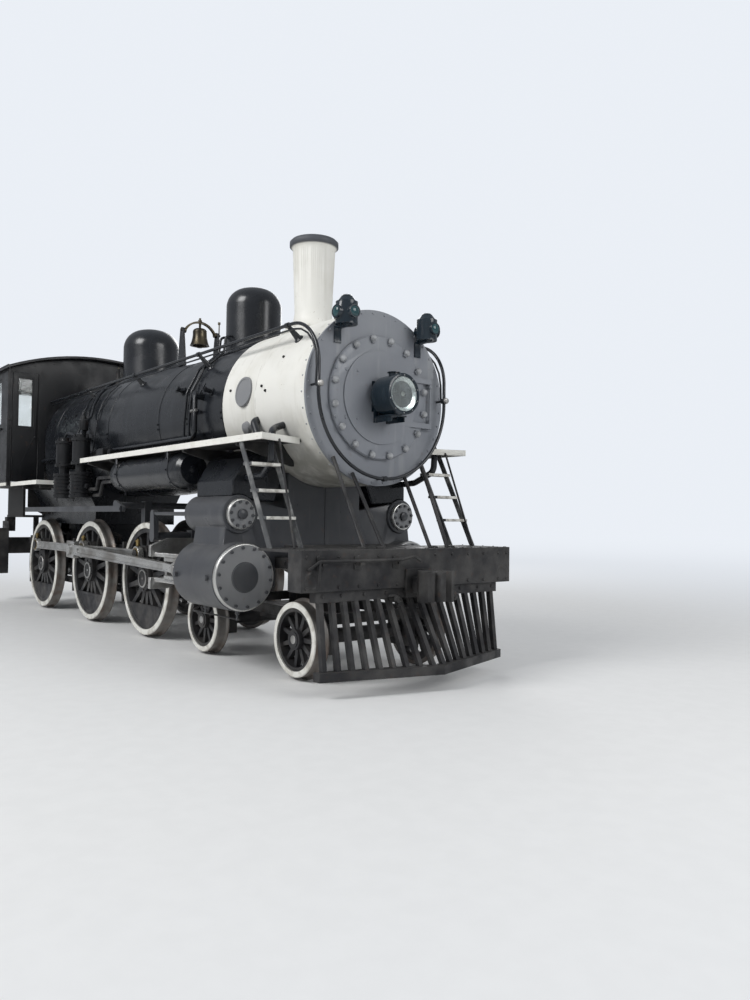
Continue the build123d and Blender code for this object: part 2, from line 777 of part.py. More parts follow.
# Front end
with BuildPart() as pilot_beam:
    add(block(BEAM_FACE, BEAM_FACE + BEAM_T, -BEAM_HALF, BEAM_HALF, BEAM_TOP - BEAM_H, BEAM_TOP))
    add(block(BEAM_FACE, 60, -BEAM_HALF, BEAM_HALF, BEAM_TOP - 1, BEAM_TOP + DECK_T))
    add(block(0, CYL_FRONT - 60, -640, 640, BEAM_TOP - 1, BEAM_TOP + DECK_T))
    for out in (560, 330):
        foot = (BEAM_FACE + 130, out - 40, BEAM_TOP + DECK_T - 2)
        drop = sqrt(SMOKEBOX_R ** 2 - out ** 2)
        add(tube([foot, (-FRONT_T - 24, out, BOILER_H - drop + 40)], 19, 0))
        add(left_copy(tube([foot, (-FRONT_T - 24, out, BOILER_H - drop + 40)], 19, 0)))
finish(pilot_beam.part, "pilot_beam")

def slat(low_s, high_s, out, low_h, high_h):
    """One leaning pilot slat on the right side."""
    with BuildPart() as bar:
        with BuildSketch(side_plane(0, 0, out - 23)):
            with BuildLine():
                Polyline((-low_s - 25, low_h), (-low_s + 25, low_h), (-high_s + 25, high_h),
                         (-high_s - 25, high_h), close=True)
            make_face()
        extrude(amount=46)
    return bar.part


with BuildPart() as pilot:
    pilot_top = BEAM_TOP - BEAM_H - 4
    pilot_low = 120
    pilot_half = 1120
    top_s = BEAM_FACE + 60
    slat_count = 9
    bottom_side_s = BEAM_FACE - 40
    bottom_nose_s = -NOSE_AHEAD
    add(block(top_s - 30, top_s + 60, -pilot_half, pilot_half, pilot_top - 90, pilot_top))
    with BuildSketch(flat_plane(pilot_low)):
        with BuildLine():
            Polyline((station(bottom_nose_s), 0), (station(bottom_side_s), -pilot_half),
                     (station(bottom_side_s + 90), -pilot_half), (station(bottom_nose_s + 110), 0),
                     (station(bottom_side_s + 90), pilot_half), (station(bottom_side_s), pilot_half),
                     close=True)
        make_face()
    extrude(amount=80)
    for number in range(slat_count):
        share = (number + 0.5) / slat_count
        out = share * pilot_half
        low_s = bottom_nose_s + share * (bottom_side_s - bottom_nose_s) + 50
        add(slat(low_s, top_s + 10, out, pilot_low + 40, pilot_top - 40))
    mirror(about=Plane.XZ)
finish(pilot.part, "pilot")

with BuildPart() as coupler:
    head_back = BEAM_FACE - 110
    coupler_half_h = 140
    add(block(head_back, BEAM_FACE, -75, 75, COUPLER_H - 75, COUPLER_H + 75))
    add(block(BEAM_FACE - 24, BEAM_FACE, -150, 150, COUPLER_H - 110, COUPLER_H + 150))
    with BuildSketch(flat_plane(COUPLER_H - coupler_half_h)):
        with BuildLine():
            Polyline((station(head_back), 95), (station(head_back - 120), 150),
                     (station(head_back - 215), 165), (station(head_back - 225), 120),
                     (station(head_back - 120), 60),
                     (station(head_back - 110), -60), (station(head_back - 190), -95),
                     (station(head_back - 190), -150), (station(head_back - 100), -165),
                     (station(head_back), -95), close=True)
        make_face()
    extrude(amount=2 * coupler_half_h)
    with BuildSketch(flat_plane(COUPLER_H - coupler_half_h + 10)):
        with BuildLine():
            Polyline((station(head_back - 150), -70), (station(head_back - 245), -40),
                     (station(head_back - 245), 30), (station(head_back - 205), 30),
                     (station(head_back - 195), -10), (station(head_back - 150), -20), close=True)
        make_face()
        with Locations((station(head_back - 178), -100)):
            Circle(46)
    extrude(amount=2 * coupler_half_h - 20)
finish(coupler.part, "coupler")

with BuildPart() as ladders:
    ladder_foot = (-105, BEAM_TOP + DECK_T)
    ladder_head = (430, BOARD_LOW)
    stringer_w = 70
    for out in (LADDER_IN, LADDER_OUT):
        with BuildSketch(side_plane(0, 0, out - 7)):
            with BuildLine():
                Polyline((-ladder_foot[0] - stringer_w / 2, ladder_foot[1]),
                         (-ladder_foot[0] + stringer_w / 2, ladder_foot[1]),
                         (-ladder_head[0] + stringer_w / 2, ladder_head[1]),
                         (-ladder_head[0] - stringer_w / 2, ladder_head[1]), close=True)
            make_face()
        extrude(amount=14)
    for rung in (1, 2, 3):
        share = rung / 4 + 0.02
        rung_s = ladder_foot[0] + share * (ladder_head[0] - ladder_foot[0])
        rung_h = ladder_foot[1] + share * (ladder_head[1] - ladder_foot[1])
        add(block(rung_s - 70, rung_s + 70, LADDER_IN, LADDER_OUT, rung_h - 14, rung_h + 14))
    mirror(about=Plane.XZ)
finish(ladders.part, "ladders")


# Smokebox
with BuildPart() as smokebox:
    with BuildSketch(cross_plane(SMOKEBOX_REAR, BOILER_H)):
        Circle(SMOKEBOX_R)
        Circle(SMOKEBOX_R - SMOKEBOX_T, mode=Mode.SUBTRACT)
    extrude(amount=SMOKEBOX_REAR)
    with BuildSketch(cross_plane(SMOKEBOX_REAR, BOILER_H)):
        Circle(SMOKEBOX_R)
    extrude(amount=20)
    with BuildSketch(flat_plane(BOILER_H)):
        with Locations((station(STACK_S), 0)):
            Circle(STACK_BORE_R)
    extrude(amount=SMOKEBOX_R + 10, mode=Mode.SUBTRACT)
    with BuildSketch(flat_plane(BOILER_H - SMOKEBOX_R + SMOKEBOX_T - 2)):
        with Locations((station(STACK_S), 0)):
            Circle(130)
    extrude(amount=520, taper=6)
    with BuildSketch(flat_plane(BOILER_H - SMOKEBOX_R + SMOKEBOX_T / 2 + 420)):
        with Locations((station(STACK_S), 0)):
            Circle(48)
    extrude(amount=200, mode=Mode.SUBTRACT)
finish(smokebox.part, "smokebox")

with BuildPart() as smokebox_front:
    with BuildSketch(cross_plane(0, BOILER_H)):
        Circle(SMOKEBOX_R + 6)
        Circle(DOOR_OPENING_R, mode=Mode.SUBTRACT)
    extrude(amount=FRONT_T)
    for sign in (-1, 1):
        lug_h = BOILER_H + sign * (HINGE_H - 26 - 2 - 17)
        with BuildSketch(flat_plane(lug_h - 17)):
            with Locations((station(-FRONT_T - HINGE_AHEAD / 2), DOOR_HINGE_OUT)):
                Rectangle(HINGE_AHEAD + 2, 40)
            with Locations((station(-FRONT_T - HINGE_AHEAD), DOOR_HINGE_OUT)):
                Circle(20)
                Circle(HINGE_PIN_R + RUN_GAP, mode=Mode.SUBTRACT)
        extrude(amount=34)
finish(smokebox_front.part, "smokebox_front")

with BuildPart() as smokebox_door:
    door_s = -FRONT_T - CLEAR
    with BuildSketch(cross_plane(door_s, BOILER_H)):
        Circle(DOOR_R)
    extrude(amount=DOOR_T)
    chamfer(smokebox_door.edges().filter_by(GeomType.CIRCLE).group_by(Axis.X)[-1], 12)
    with BuildSketch(cross_plane(door_s - DOOR_T, BOILER_H)):
        Circle(DOOR_R - 150)
    extrude(amount=14)
    with BuildSketch(cross_plane(door_s - DOOR_T + 6, BOILER_H)):
        with PolarLocations(DOG_CIRCLE_R, DOG_COUNT, start_angle=180 / DOG_COUNT):
            Rectangle(74, 40)
    extrude(amount=28)
    with BuildSketch(cross_plane(door_s - DOOR_T - 20, BOILER_H)):
        with PolarLocations(DOG_CIRCLE_R + 4, DOG_COUNT, start_angle=180 / DOG_COUNT):
            RegularPolygon(17, 6)
    extrude(amount=26)
    for height in (-HINGE_H, HINGE_H):
        with BuildSketch(cross_plane(door_s - DOOR_T + 4, BOILER_H + height)):
            with Locations((DOOR_HINGE_OUT - 230, 0)):
                Rectangle(440, 52)
        extrude(amount=20)
        with BuildSketch(flat_plane(BOILER_H + height - 26)):
            with Locations((station(-FRONT_T - HINGE_AHEAD), DOOR_HINGE_OUT)):
                Circle(20)
        extrude(amount=52)
    with BuildSketch(flat_plane(BOILER_H - HINGE_H)):
        with Locations((station(-FRONT_T - HINGE_AHEAD), DOOR_HINGE_OUT)):
            Circle(HINGE_PIN_R)
    extrude(amount=2 * HINGE_H)
finish(smokebox_door.part, "smokebox_door")

with BuildPart() as headlight:
    bracket_s = door_s - DOOR_T - 14
    case_s = bracket_s - 30
    case_length = 300
    with BuildSketch(cross_plane(case_s, BOILER_H)):
        Circle(HEADLIGHT_R)
    extrude(amount=case_length)
    fillet(headlight.edges().filter_by(GeomType.CIRCLE).group_by(Axis.X)[0], 60)
    with BuildSketch(cross_plane(case_s - case_length, BOILER_H)):
        Circle(HEADLIGHT_R - 22)
    extrude(amount=-40, mode=Mode.SUBTRACT)
    with BuildSketch(cross_plane(case_s - case_length + 34, BOILER_H)):
        Circle(HEADLIGHT_R - 22)
    extrude(amount=10)
    with BuildSketch(cross_plane(bracket_s, BOILER_H)):
        Rectangle(250, 300)
    extrude(amount=12)
    with BuildSketch(cross_plane(bracket_s, BOILER_H)):
        Circle(90)
    extrude(amount=60)
    with BuildSketch(flat_plane(BOILER_H - HEADLIGHT_R - 14)):
        with Locations((station(bracket_s - 130), 0)):
            Rectangle(260, 200)
    extrude(amount=16)
    case_low = BOILER_H - HEADLIGHT_R
    for out in (-80, 80):
        add(block(bracket_s - 250, bracket_s, out - 6, out + 6, case_low - 60, case_low + 2))
        add(block(bracket_s - 24, bracket_s, out - 20, out + 20, case_low - 60, BOILER_H - 100))
finish(headlight.part, "headlight")

with BuildPart() as class_lamps:
    lamp_s = -FRONT_T - 145
    with BuildSketch(flat_plane(LAMP_H - LAMP_R)):
        with Locations((station(lamp_s), -LAMP_OUT)):
            Circle(LAMP_R)
    extrude(amount=2 * LAMP_R)
    with BuildSketch(flat_plane(LAMP_H + LAMP_R)):
        with Locations((station(lamp_s), -LAMP_OUT)):
            Circle(LAMP_R - 14)
    extrude(amount=46, taper=35)
    lamp_middle = (station(lamp_s), -LAMP_OUT, up(LAMP_H))
    for turn in (0, 90, 180):
        with BuildSketch(Plane(origin=lamp_middle, z_dir=(cos(radians(turn)), -sin(radians(turn)), 0))):
            Circle(58)
        extrude(amount=LAMP_R + 22)
    add(block(lamp_s - 40, -FRONT_T, LAMP_OUT - 40, LAMP_OUT + 40, LAMP_H - LAMP_R - 12, LAMP_H - LAMP_R))
    add(block(-FRONT_T - 12, -FRONT_T, LAMP_OUT - 40, LAMP_OUT + 40, LAMP_H - LAMP_R - 150, LAMP_H - LAMP_R))
    mirror(about=Plane.XZ)
finish(class_lamps.part, "class_lamps")


# Stack, domes and bell
def boiler_radius(behind):
    """Jacket radius at this station."""
    if behind <= SMOKEBOX_REAR:
        return SMOKEBOX_R
    if behind <= TAPER_START:
        return COURSE_R
    if behind >= TAPER_END:
        return WAISTED_R
    share = (behind - TAPER_START) / (TAPER_END - TAPER_START)
    return COURSE_R + share * (WAISTED_R - COURSE_R)


def boiler_cutter(grow=0.0):
    """Solid of the smokebox and boiler, for seating what stands on them."""
    with BuildPart() as cutter:
        with BuildSketch(Plane(origin=(0, 0, up(BOILER_H)), x_dir=(1, 0, 0), z_dir=(0, -1, 0))):
            with BuildLine():
                Polyline((station(0), 0), (station(0), SMOKEBOX_R + grow),
                         (station(SMOKEBOX_REAR), SMOKEBOX_R + grow),
                         (station(SMOKEBOX_REAR), COURSE_R + grow), (station(TAPER_START), COURSE_R + grow),
                         (station(TAPER_END), WAISTED_R + grow), (station(BACKHEAD), WAISTED_R + grow),
                         (station(BACKHEAD), 0), close=True)
            make_face()
        revolve(axis=Axis((0, 0, up(BOILER_H)), (1, 0, 0)))
    return cutter.part


def turned_profile(behind, points):
    """Solid of revolution about an upright axis on the centre line; points are radius and height."""
    with BuildPart() as turned:
        with BuildSketch(side_plane(behind, 0, 0)):
            with BuildLine():
                Polyline(*points, close=True)
            make_face()
        revolve(axis=Axis((station(behind), 0, 0), (0, 0, 1)))
    return turned.part


with BuildPart() as stack:
    stack_seat = BOILER_H + SMOKEBOX_R
    stack_foot_r = SMOKEBOX_R * 0.42
    add(turned_profile(STACK_S, [(0, BOILER_H + 500), (stack_foot_r, BOILER_H + 500),
                                 (stack_foot_r, stack_seat - 40), (STACK_BASE_R + 62, stack_seat + 20),
                                 (STACK_BASE_R + 16, stack_seat + 90),
                                 (STACK_BASE_R, stack_seat + 190), (STACK_TOP_R, STACK_TOP - 95),
                                 (STACK_RIM_R, STACK_TOP - 70), (STACK_RIM_R, STACK_TOP - 22),
                                 (STACK_RIM_R - 22, STACK_TOP), (0, STACK_TOP)]))
    with BuildSketch(flat_plane(BOILER_H + 490)):
        with Locations((station(STACK_S), 0)):
            Circle(STACK_BORE_R)
    extrude(amount=STACK_TOP - BOILER_H, mode=Mode.SUBTRACT)
    add(boiler_cutter(), mode=Mode.SUBTRACT)
finish(stack.part, "stack")


def dome(behind, radius, top, seat_r):
    """Rounded dome whose saddle flange follows the jacket, with a flare between them."""
    seat = BOILER_H + seat_r
    crown_rise = radius * DOME_CROWN
    crown_r = (radius ** 2 + crown_rise ** 2) / (2 * crown_rise)
    half_turn = asin(radius / crown_r) / 2
    crown_mid = (crown_r * sin(half_turn), top - crown_r * (1 - cos(half_turn)))
    depth = seat_r / 3
    barrel_plane = cross_plane(behind + 2 * radius, BOILER_H)

    def on_joint(edge):
        box = edge.bounding_box()
        return abs(box.size.X - 2 * radius) < 1 and up(seat) < box.max.Z < up(seat) + 60

    with BuildPart() as shell:
        with BuildSketch(flat_plane(seat - depth)):
            with Locations((station(behind), 0)):
                Circle(radius + DOME_FLANGE_W)
        extrude(amount=2 * depth)
        with BuildSketch(barrel_plane):
            Circle(seat_r + DOME_FLANGE_T)
        extrude(amount=4 * radius, mode=Mode.INTERSECT)
        with BuildSketch(side_plane(behind, 0, 0)) as profile:
            with BuildLine():
                Polyline((0, top), (0, seat - depth), (radius, seat - depth), (radius, top - crown_rise))
                ThreePointArc((radius, top - crown_rise), crown_mid, (0, top))
            make_face()
            fillet(profile.vertices().group_by(Axis.X)[-1].sort_by(Axis.Y)[-1], radius * DOME_SHOULDER)
        revolve(axis=Axis((station(behind), 0, 0), (0, 0, 1)))
        with BuildSketch(barrel_plane):
            Circle(seat_r + BAND_T + 0.5)
        extrude(amount=4 * radius, mode=Mode.SUBTRACT)
        fillet(shell.edges().filter_by(on_joint), DOME_FLARE_R)
    return shell.part


with BuildPart() as sand_dome:
    add(dome(SAND_S, SAND_R, SAND_TOP, COURSE_R))
finish(sand_dome.part, "sand_dome")

with BuildPart() as steam_dome:
    add(dome(STEAM_S, STEAM_R, STEAM_TOP, WAISTED_R))
finish(steam_dome.part, "steam_dome")

# The bell hangs from an arched yoke that turns in the stand's two arms
ARM_OUT = YOKE_HALF + YOKE_T / 2 + 8
with BuildPart() as bell_stand:
    bell_seat = BOILER_H + boiler_radius(BELL_S)
    base_half = 110
    for side in (1, -1):
        with BuildSketch(side_plane(BELL_S, BELL_PIVOT_H, side * (ARM_OUT + BELL_ARM_T / 2))):
            Circle(38)
            with Locations((0, bell_seat - 60 - BELL_PIVOT_H)):
                Rectangle(2 * base_half, 20)
            make_hull()
            Circle(BELL_PIN_R + RUN_GAP, mode=Mode.SUBTRACT)
        extrude(amount=BELL_ARM_T / 2, both=True)
        add(block(BELL_S - base_half, BELL_S + base_half, side * ARM_OUT, side * (ARM_OUT + 110),
                  bell_seat - 160, bell_seat - 36))
    add(boiler_cutter(0.5), mode=Mode.SUBTRACT)
finish(bell_stand.part, "bell_stand")

with BuildPart() as bell:
    bell_crown = BELL_MOUTH_H + BELL_TALL
    yoke_r = (YOKE_HALF ** 2 + YOKE_RISE ** 2) / (2 * YOKE_RISE)
    yoke_top = BELL_PIVOT_H + YOKE_RISE
    yoke_mid = yoke_top - yoke_r
    lever_out = ARM_OUT + BELL_ARM_T + 18
    with BuildSketch(side_plane(BELL_S, 0, 0)):
        with BuildLine():
            Line((0, bell_crown), (52, bell_crown))
            ThreePointArc((52, bell_crown), (82, bell_crown - 16), (94, bell_crown - 52))
            ThreePointArc((94, bell_crown - 52), (103, bell_crown - 150), (BELL_R, BELL_MOUTH_H))
            Line((BELL_R, BELL_MOUTH_H), (BELL_R - BELL_LIP, BELL_MOUTH_H))
            ThreePointArc((BELL_R - BELL_LIP, BELL_MOUTH_H), (82, bell_crown - 148), (79, bell_crown - 56))
            Line((79, bell_crown - 56), (44, bell_crown - 16))
            Line((44, bell_crown - 16), (0, bell_crown - 16))
            Line((0, bell_crown - 16), (0, bell_crown))
        make_face()
    revolve(axis=Axis((station(BELL_S), 0, 0), (0, 0, 1)))
    # Crown bolt with its nut
    for radius, low, high in ((16, bell_crown - 2, yoke_top), (26, yoke_top - 4, yoke_top + 34),
                              (15, yoke_top + 30, yoke_top + 60)):
        with BuildSketch(flat_plane(low)):
            with Locations((station(BELL_S), 0)):
                Circle(radius)
        extrude(amount=high - low)
    # Yoke arch and its bosses
    with BuildSketch(cross_plane(BELL_S + YOKE_W / 2)):
        with Locations((0, yoke_mid)):
            Circle(yoke_r + YOKE_T / 2)
            Circle(yoke_r - YOKE_T / 2, mode=Mode.SUBTRACT)
        with Locations((0, BELL_PIVOT_H + yoke_r)):
            Rectangle(4 * yoke_r, 2 * yoke_r, mode=Mode.INTERSECT)
    extrude(amount=YOKE_W)
    for side in (1, -1):
        with BuildSketch(side_plane(BELL_S, BELL_PIVOT_H, side * YOKE_HALF)):
            Circle(34)
        extrude(amount=YOKE_T / 2, both=True)
        with BuildSketch(side_plane(BELL_S, BELL_PIVOT_H, side * YOKE_HALF)):
            Circle(BELL_PIN_R)
        extrude(amount=side * (ARM_OUT + BELL_ARM_T + 6 - YOKE_HALF))
    # Upright lever with its knob on the left-hand pin
    with BuildSketch(side_plane(BELL_S, BELL_PIVOT_H, -ARM_OUT - BELL_ARM_T - 4)):
        Circle(BELL_PIN_R)
    extrude(amount=-28)
    knob_low = BELL_PIVOT_H + 158
    for radius, low, high in ((8, BELL_PIVOT_H, knob_low + 8), (18, knob_low, knob_low + 32)):
        with BuildSketch(flat_plane(low)):
            with Locations((station(BELL_S), lever_out)):
                Circle(radius)
        extrude(amount=high - low)
    # Tongue
    tongue_low = BELL_MOUTH_H - 26
    for radius, low, high in ((9, tongue_low + 20, bell_crown - 10), (36, tongue_low, tongue_low + 60)):
        with BuildSketch(flat_plane(low)):
            with Locations((station(BELL_S), 0)):
                Circle(radius)
        extrude(amount=high - low)
finish(bell.part, "bell")


# Boiler and firebox
with BuildPart() as boiler:
    add(boiler_cutter())
    with BuildSketch(cross_plane(SMOKEBOX_REAR, BOILER_H)):
        Circle(SMOKEBOX_R + 50)
    extrude(amount=SMOKEBOX_REAR + 10, mode=Mode.SUBTRACT)
    for band_s in BAND_STATIONS:
        band_r = boiler_radius(band_s) + BAND_T
        with BuildSketch(cross_plane(band_s + BAND_W, BOILER_H)):
            Circle(band_r)
            Circle(boiler_radius(band_s) - 20, mode=Mode.SUBTRACT)
            if band_s > FIREBOX_FRONT:
                with Locations((0, -band_r + 2)):
                    Rectangle(3 * band_r, 2 * band_r, mode=Mode.SUBTRACT)
        extrude(amount=BAND_W)
finish(boiler.part, "boiler")

with BuildPart() as firebox:
    with BuildSketch(cross_plane(BACKHEAD)):
        with BuildLine():
            Polyline((-WAISTED_R + 4, BOILER_H), (-WAISTED_R + 30, BOILER_H - 420),
                     (-WAISTED_R + 110, BOILER_H - 760), (-FRAME_IN - 130, BOILER_H - 1060),
                     (-FRAME_IN - 130, FIREBOX_BOTTOM), (FRAME_IN + 130, FIREBOX_BOTTOM),
                     (FRAME_IN + 130, BOILER_H - 1060), (WAISTED_R - 110, BOILER_H - 760),
                     (WAISTED_R - 30, BOILER_H - 420), (WAISTED_R - 4, BOILER_H), close=True)
        make_face()
    extrude(amount=BACKHEAD - FIREBOX_FRONT)
    for s0, s1 in ((FIREBOX_FRONT + 60, DRIVER_AXLES["rear"] - 200),
                   (DRIVER_AXLES["rear"] + 200, BACKHEAD - 60)):
        with BuildSketch(cross_plane(s1)):
            with BuildLine():
                Polyline((-FRAME_IN + 30, FIREBOX_BOTTOM + 1), (-FRAME_IN + 30, 1000), (-260, 470),
                         (260, 470), (FRAME_IN - 30, 1000), (FRAME_IN - 30, FIREBOX_BOTTOM + 1),
                         close=True)
            make_face()
        extrude(amount=s1 - s0)
    add(boiler_cutter(), mode=Mode.SUBTRACT)
finish(firebox.part, "firebox")

with BuildPart() as safety_valves:
    turret_seat = BOILER_H + WAISTED_R
    for spacing, (radius, height) in zip(VALVE_SPACING, ((62, 250), (62, 250), (38, 330))):
        behind = STEAM_S + spacing
        with BuildSketch(flat_plane(turret_seat - 120)):
            with Locations((station(behind), 0)):
                Circle(radius * 0.6)
        extrude(amount=160)
        with BuildSketch(flat_plane(turret_seat + 40)):
            with Locations((station(behind), 0)):
                Circle(radius)
        extrude(amount=height - 80)
        with BuildSketch(flat_plane(turret_seat + height - 40)):
            with Locations((station(behind), 0)):
                Circle(radius * 0.55)
        extrude(amount=40)
    add(boiler_cutter(), mode=Mode.SUBTRACT)
finish(safety_valves.part, "safety_valves")


# Handrails
def around(radius, angle):
    """Out and height of a point round the boiler; the angle runs up from the right-hand side."""
    return radius * cos(radians(angle)), BOILER_H + radius * sin(radians(angle))


front_rail_s = -FRONT_T - FRONT_RAIL_AHEAD
rail_angle = degrees(atan2(RAIL_H - BOILER_H, RAIL_OUT))
rail_reach = sqrt(RAIL_OUT ** 2 + (RAIL_H - BOILER_H) ** 2)
arc_start = rail_angle - degrees(acos(FRONT_RAIL_R / rail_reach))
arc_out, arc_h = around(FRONT_RAIL_R, arc_start)
with BuildLine() as rail_route:
    for side in (-1, 1):
        FilletPolyline((station(CAB_FRONT - 2), side * RAIL_OUT, up(RAIL_H)),
                       (station(front_rail_s), side * RAIL_OUT, up(RAIL_H)),
                       (station(front_rail_s), side * arc_out, up(arc_h)), radius=RAIL_BEND)
    ThreePointArc((station(front_rail_s), -arc_out, up(arc_h)),
                  (station(front_rail_s), 0, up(BOILER_H - FRONT_RAIL_R)),
                  (station(front_rail_s), arc_out, up(arc_h)))
with BuildPart() as handrails:
    with BuildSketch(Plane(origin=(station(CAB_FRONT - 2), -RAIL_OUT, up(RAIL_H)), z_dir=(1, 0, 0))):
        Circle(RAIL_R)
    sweep(path=Wire(rail_route.edges()))
    for post_s in RAIL_POSTS:
        pad_r = boiler_radius(post_s + RAIL_FOOT_R) + 1
        foot_out, foot_h = around(pad_r, rail_angle)
        pad_out, pad_h = around(pad_r + 12, rail_angle)
        for side in (-1, 1):
            foot = (station(post_s), side * foot_out, up(foot_h))
            head = (station(post_s), side * RAIL_OUT, up(RAIL_H))
            add(round_bar(foot, head, RAIL_POST_R))
            add(round_bar(foot, (station(post_s), side * pad_out, up(pad_h)), RAIL_FOOT_R))
            knob_rear = (station(post_s) - KNOB_HALF, side * RAIL_OUT, up(RAIL_H))
            with BuildSketch(Plane(origin=knob_rear, z_dir=(1, 0, 0))):
                Circle(KNOB_R)
            extrude(amount=2 * KNOB_HALF)
    for angle in FRONT_KNOBS:
        knob_out, knob_h = around(FRONT_RAIL_R, angle)
        for s0, s1, bar_r in ((-FRONT_T - 1, front_rail_s, RAIL_POST_R),
                              (front_rail_s + KNOB_HALF, front_rail_s - KNOB_HALF, KNOB_R)):
            with BuildSketch(Plane(origin=(station(s0), -knob_out, up(knob_h)), z_dir=(1, 0, 0))):
                Circle(bar_r)
            extrude(amount=s0 - s1)
finish(handrails.part, "handrails")


# Running boards with their brackets and white edges
def board_inner(behind, height):
    """How far out the jacket stands at this station and height."""
    radius = boiler_radius(behind)
    rise = abs(height - BOILER_H)
    return sqrt(radius ** 2 - rise ** 2) + 8


with BuildPart() as running_boards:
    front_in = board_inner(0, BOARD_LOW)
    rear_in = board_inner(BOARD_REAR, BOARD_LOW)
    board_edge = BOARD_OUT - EDGE_T - 1
    board_nose = BOARD_FRONT + EDGE_T + 6
    with BuildSketch(flat_plane(BOARD_LOW)):
        with BuildLine():
            Polyline((station(board_nose), -board_edge), (station(board_nose + 190), -front_in - 30),
                     (station(board_nose + 190), -front_in), (station(SMOKEBOX_REAR), -front_in),
                     (station(SMOKEBOX_REAR), -rear_in), (station(BOARD_REAR), -rear_in),
                     (station(BOARD_REAR), -board_edge), close=True)
        make_face()
    extrude(amount=BOARD_T)
    for bracket_s in BRACKET_STATIONS:
        inner = board_inner(bracket_s, BOARD_LOW - 150)
        with BuildSketch(cross_plane(bracket_s + 36)):
            with BuildLine():
                Polyline((-BOARD_OUT + 60, BOARD_LOW), (-BOARD_OUT + 60, BOARD_LOW - 40),
                         (-inner - 14, BOARD_LOW - 210), (-inner + 20, BOARD_LOW - 210),
                         (-inner - 10, BOARD_LOW), close=True)
            make_face()
        extrude(amount=36)
    mirror(about=Plane.XZ)
    add(boiler_cutter(0.5), mode=Mode.SUBTRACT)
finish(running_boards.part, "running_boards")

with BuildPart() as aprons:
    apron_low = APRON_TOP - BOARD_T
    add(block(APRON_FRONT + EDGE_T + 1, CAB_FRONT - 1, WAISTED_R + 10, APRON_OUT - EDGE_T - 1,
              apron_low, APRON_TOP))
    for bracket_s in (APRON_FRONT + 200, CAB_FRONT - 260):
        add(block(bracket_s, bracket_s + 40, WAISTED_R - 40, APRON_OUT - 120, apron_low - 70, apron_low))
    mirror(about=Plane.XZ)
finish(aprons.part, "aprons")

with BuildPart() as board_edges:
    edge_low = BOARD_TOP - EDGE_H + 6
    add(block(BOARD_FRONT, BOARD_REAR, BOARD_OUT - EDGE_T, BOARD_OUT, edge_low, BOARD_TOP + 6))
    with BuildSketch(flat_plane(edge_low)):
        with BuildLine():
            Polyline((station(BOARD_FRONT), -BOARD_OUT), (station(BOARD_FRONT + 190), -front_in - 30),
                     (station(BOARD_FRONT + 190 + EDGE_T), -front_in - 30),
                     (station(BOARD_FRONT + EDGE_T), -BOARD_OUT), close=True)
        make_face()
    extrude(amount=EDGE_H)
    apron_edge_low = APRON_TOP - EDGE_H + 6
    add(block(APRON_FRONT, CAB_FRONT - 1, APRON_OUT - EDGE_T, APRON_OUT, apron_edge_low, APRON_TOP + 6))
    add(block(APRON_FRONT, APRON_FRONT + EDGE_T, WAISTED_R + 20, APRON_OUT, apron_edge_low, APRON_TOP + 6))
    mirror(about=Plane.XZ)
finish(board_edges.part, "board_edges")

with BuildPart() as air_reservoirs:
    tank_r = 195
    tank_front = 1740
    tank_rear = 3650
    tank_out = 1085
    tank_h = BOARD_LOW - tank_r - 22
    with BuildSketch(cross_plane(tank_rear - 60, tank_h)):
        with Locations((-tank_out, 0)):
            Circle(tank_r)
    extrude(amount=tank_rear - tank_front - 120)
    for end_s, amount in ((tank_front + 60, 60), (tank_rear - 60, -60)):
        with BuildSketch(cross_plane(end_s, tank_h)):
            with Locations((-tank_out, 0)):
                Circle(tank_r)
        extrude(amount=amount, taper=35)
    for strap_s in (tank_front + 250, tank_rear - 250):
        with BuildSketch(cross_plane(strap_s + 25, tank_h)):
            with Locations((-tank_out, 0)):
                Circle(tank_r + 9)
            with Locations((-tank_out + tank_r - 6, tank_r / 2 + 9)):
                Rectangle(12, tank_r + 20)
            with Locations((-tank_out - tank_r + 6, tank_r / 2 + 9)):
                Rectangle(12, tank_r + 20)
        extrude(amount=50)
    mirror(about=Plane.XZ)
finish(air_reservoirs.part, "air_reservoirs")

with BuildPart() as air_pumps:
    pump_low = 1745
    pump_high = 2620
    for pump_s in (5040, 5720):
        PUMP_RINGS = (
            # radius, low and high as shares of the pump's height
            (150, 0.0, 0.04), (138, 0.04, 0.36), (150, 0.36, 0.40), (70, 0.40, 0.52), (132, 0.52, 0.56),
            (118, 0.56, 0.90), (132, 0.90, 0.94), (70, 0.94, 1.0),
        )
        pump_tall = pump_high - pump_low
        for radius, low, high in PUMP_RINGS:
            with BuildSketch(flat_plane(pump_low + low * pump_tall)):
                with Locations((station(pump_s), -PUMP_OUT)):
                    Circle(radius)
            extrude(amount=(high - low) * pump_tall)
        for fin in range(5):
            with BuildSketch(flat_plane(pump_low + (0.075 + fin * 0.058) * pump_tall)):
                with Locations((station(pump_s), -PUMP_OUT)):
                    Circle(150)
            extrude(amount=18)
        add(block(pump_s - 60, pump_s + 60, board_inner(pump_s, 2200) - 30, PUMP_OUT, 2170, 2230))
    add(boiler_cutter(0.5), mode=Mode.SUBTRACT)
finish(air_pumps.part, "air_pumps")

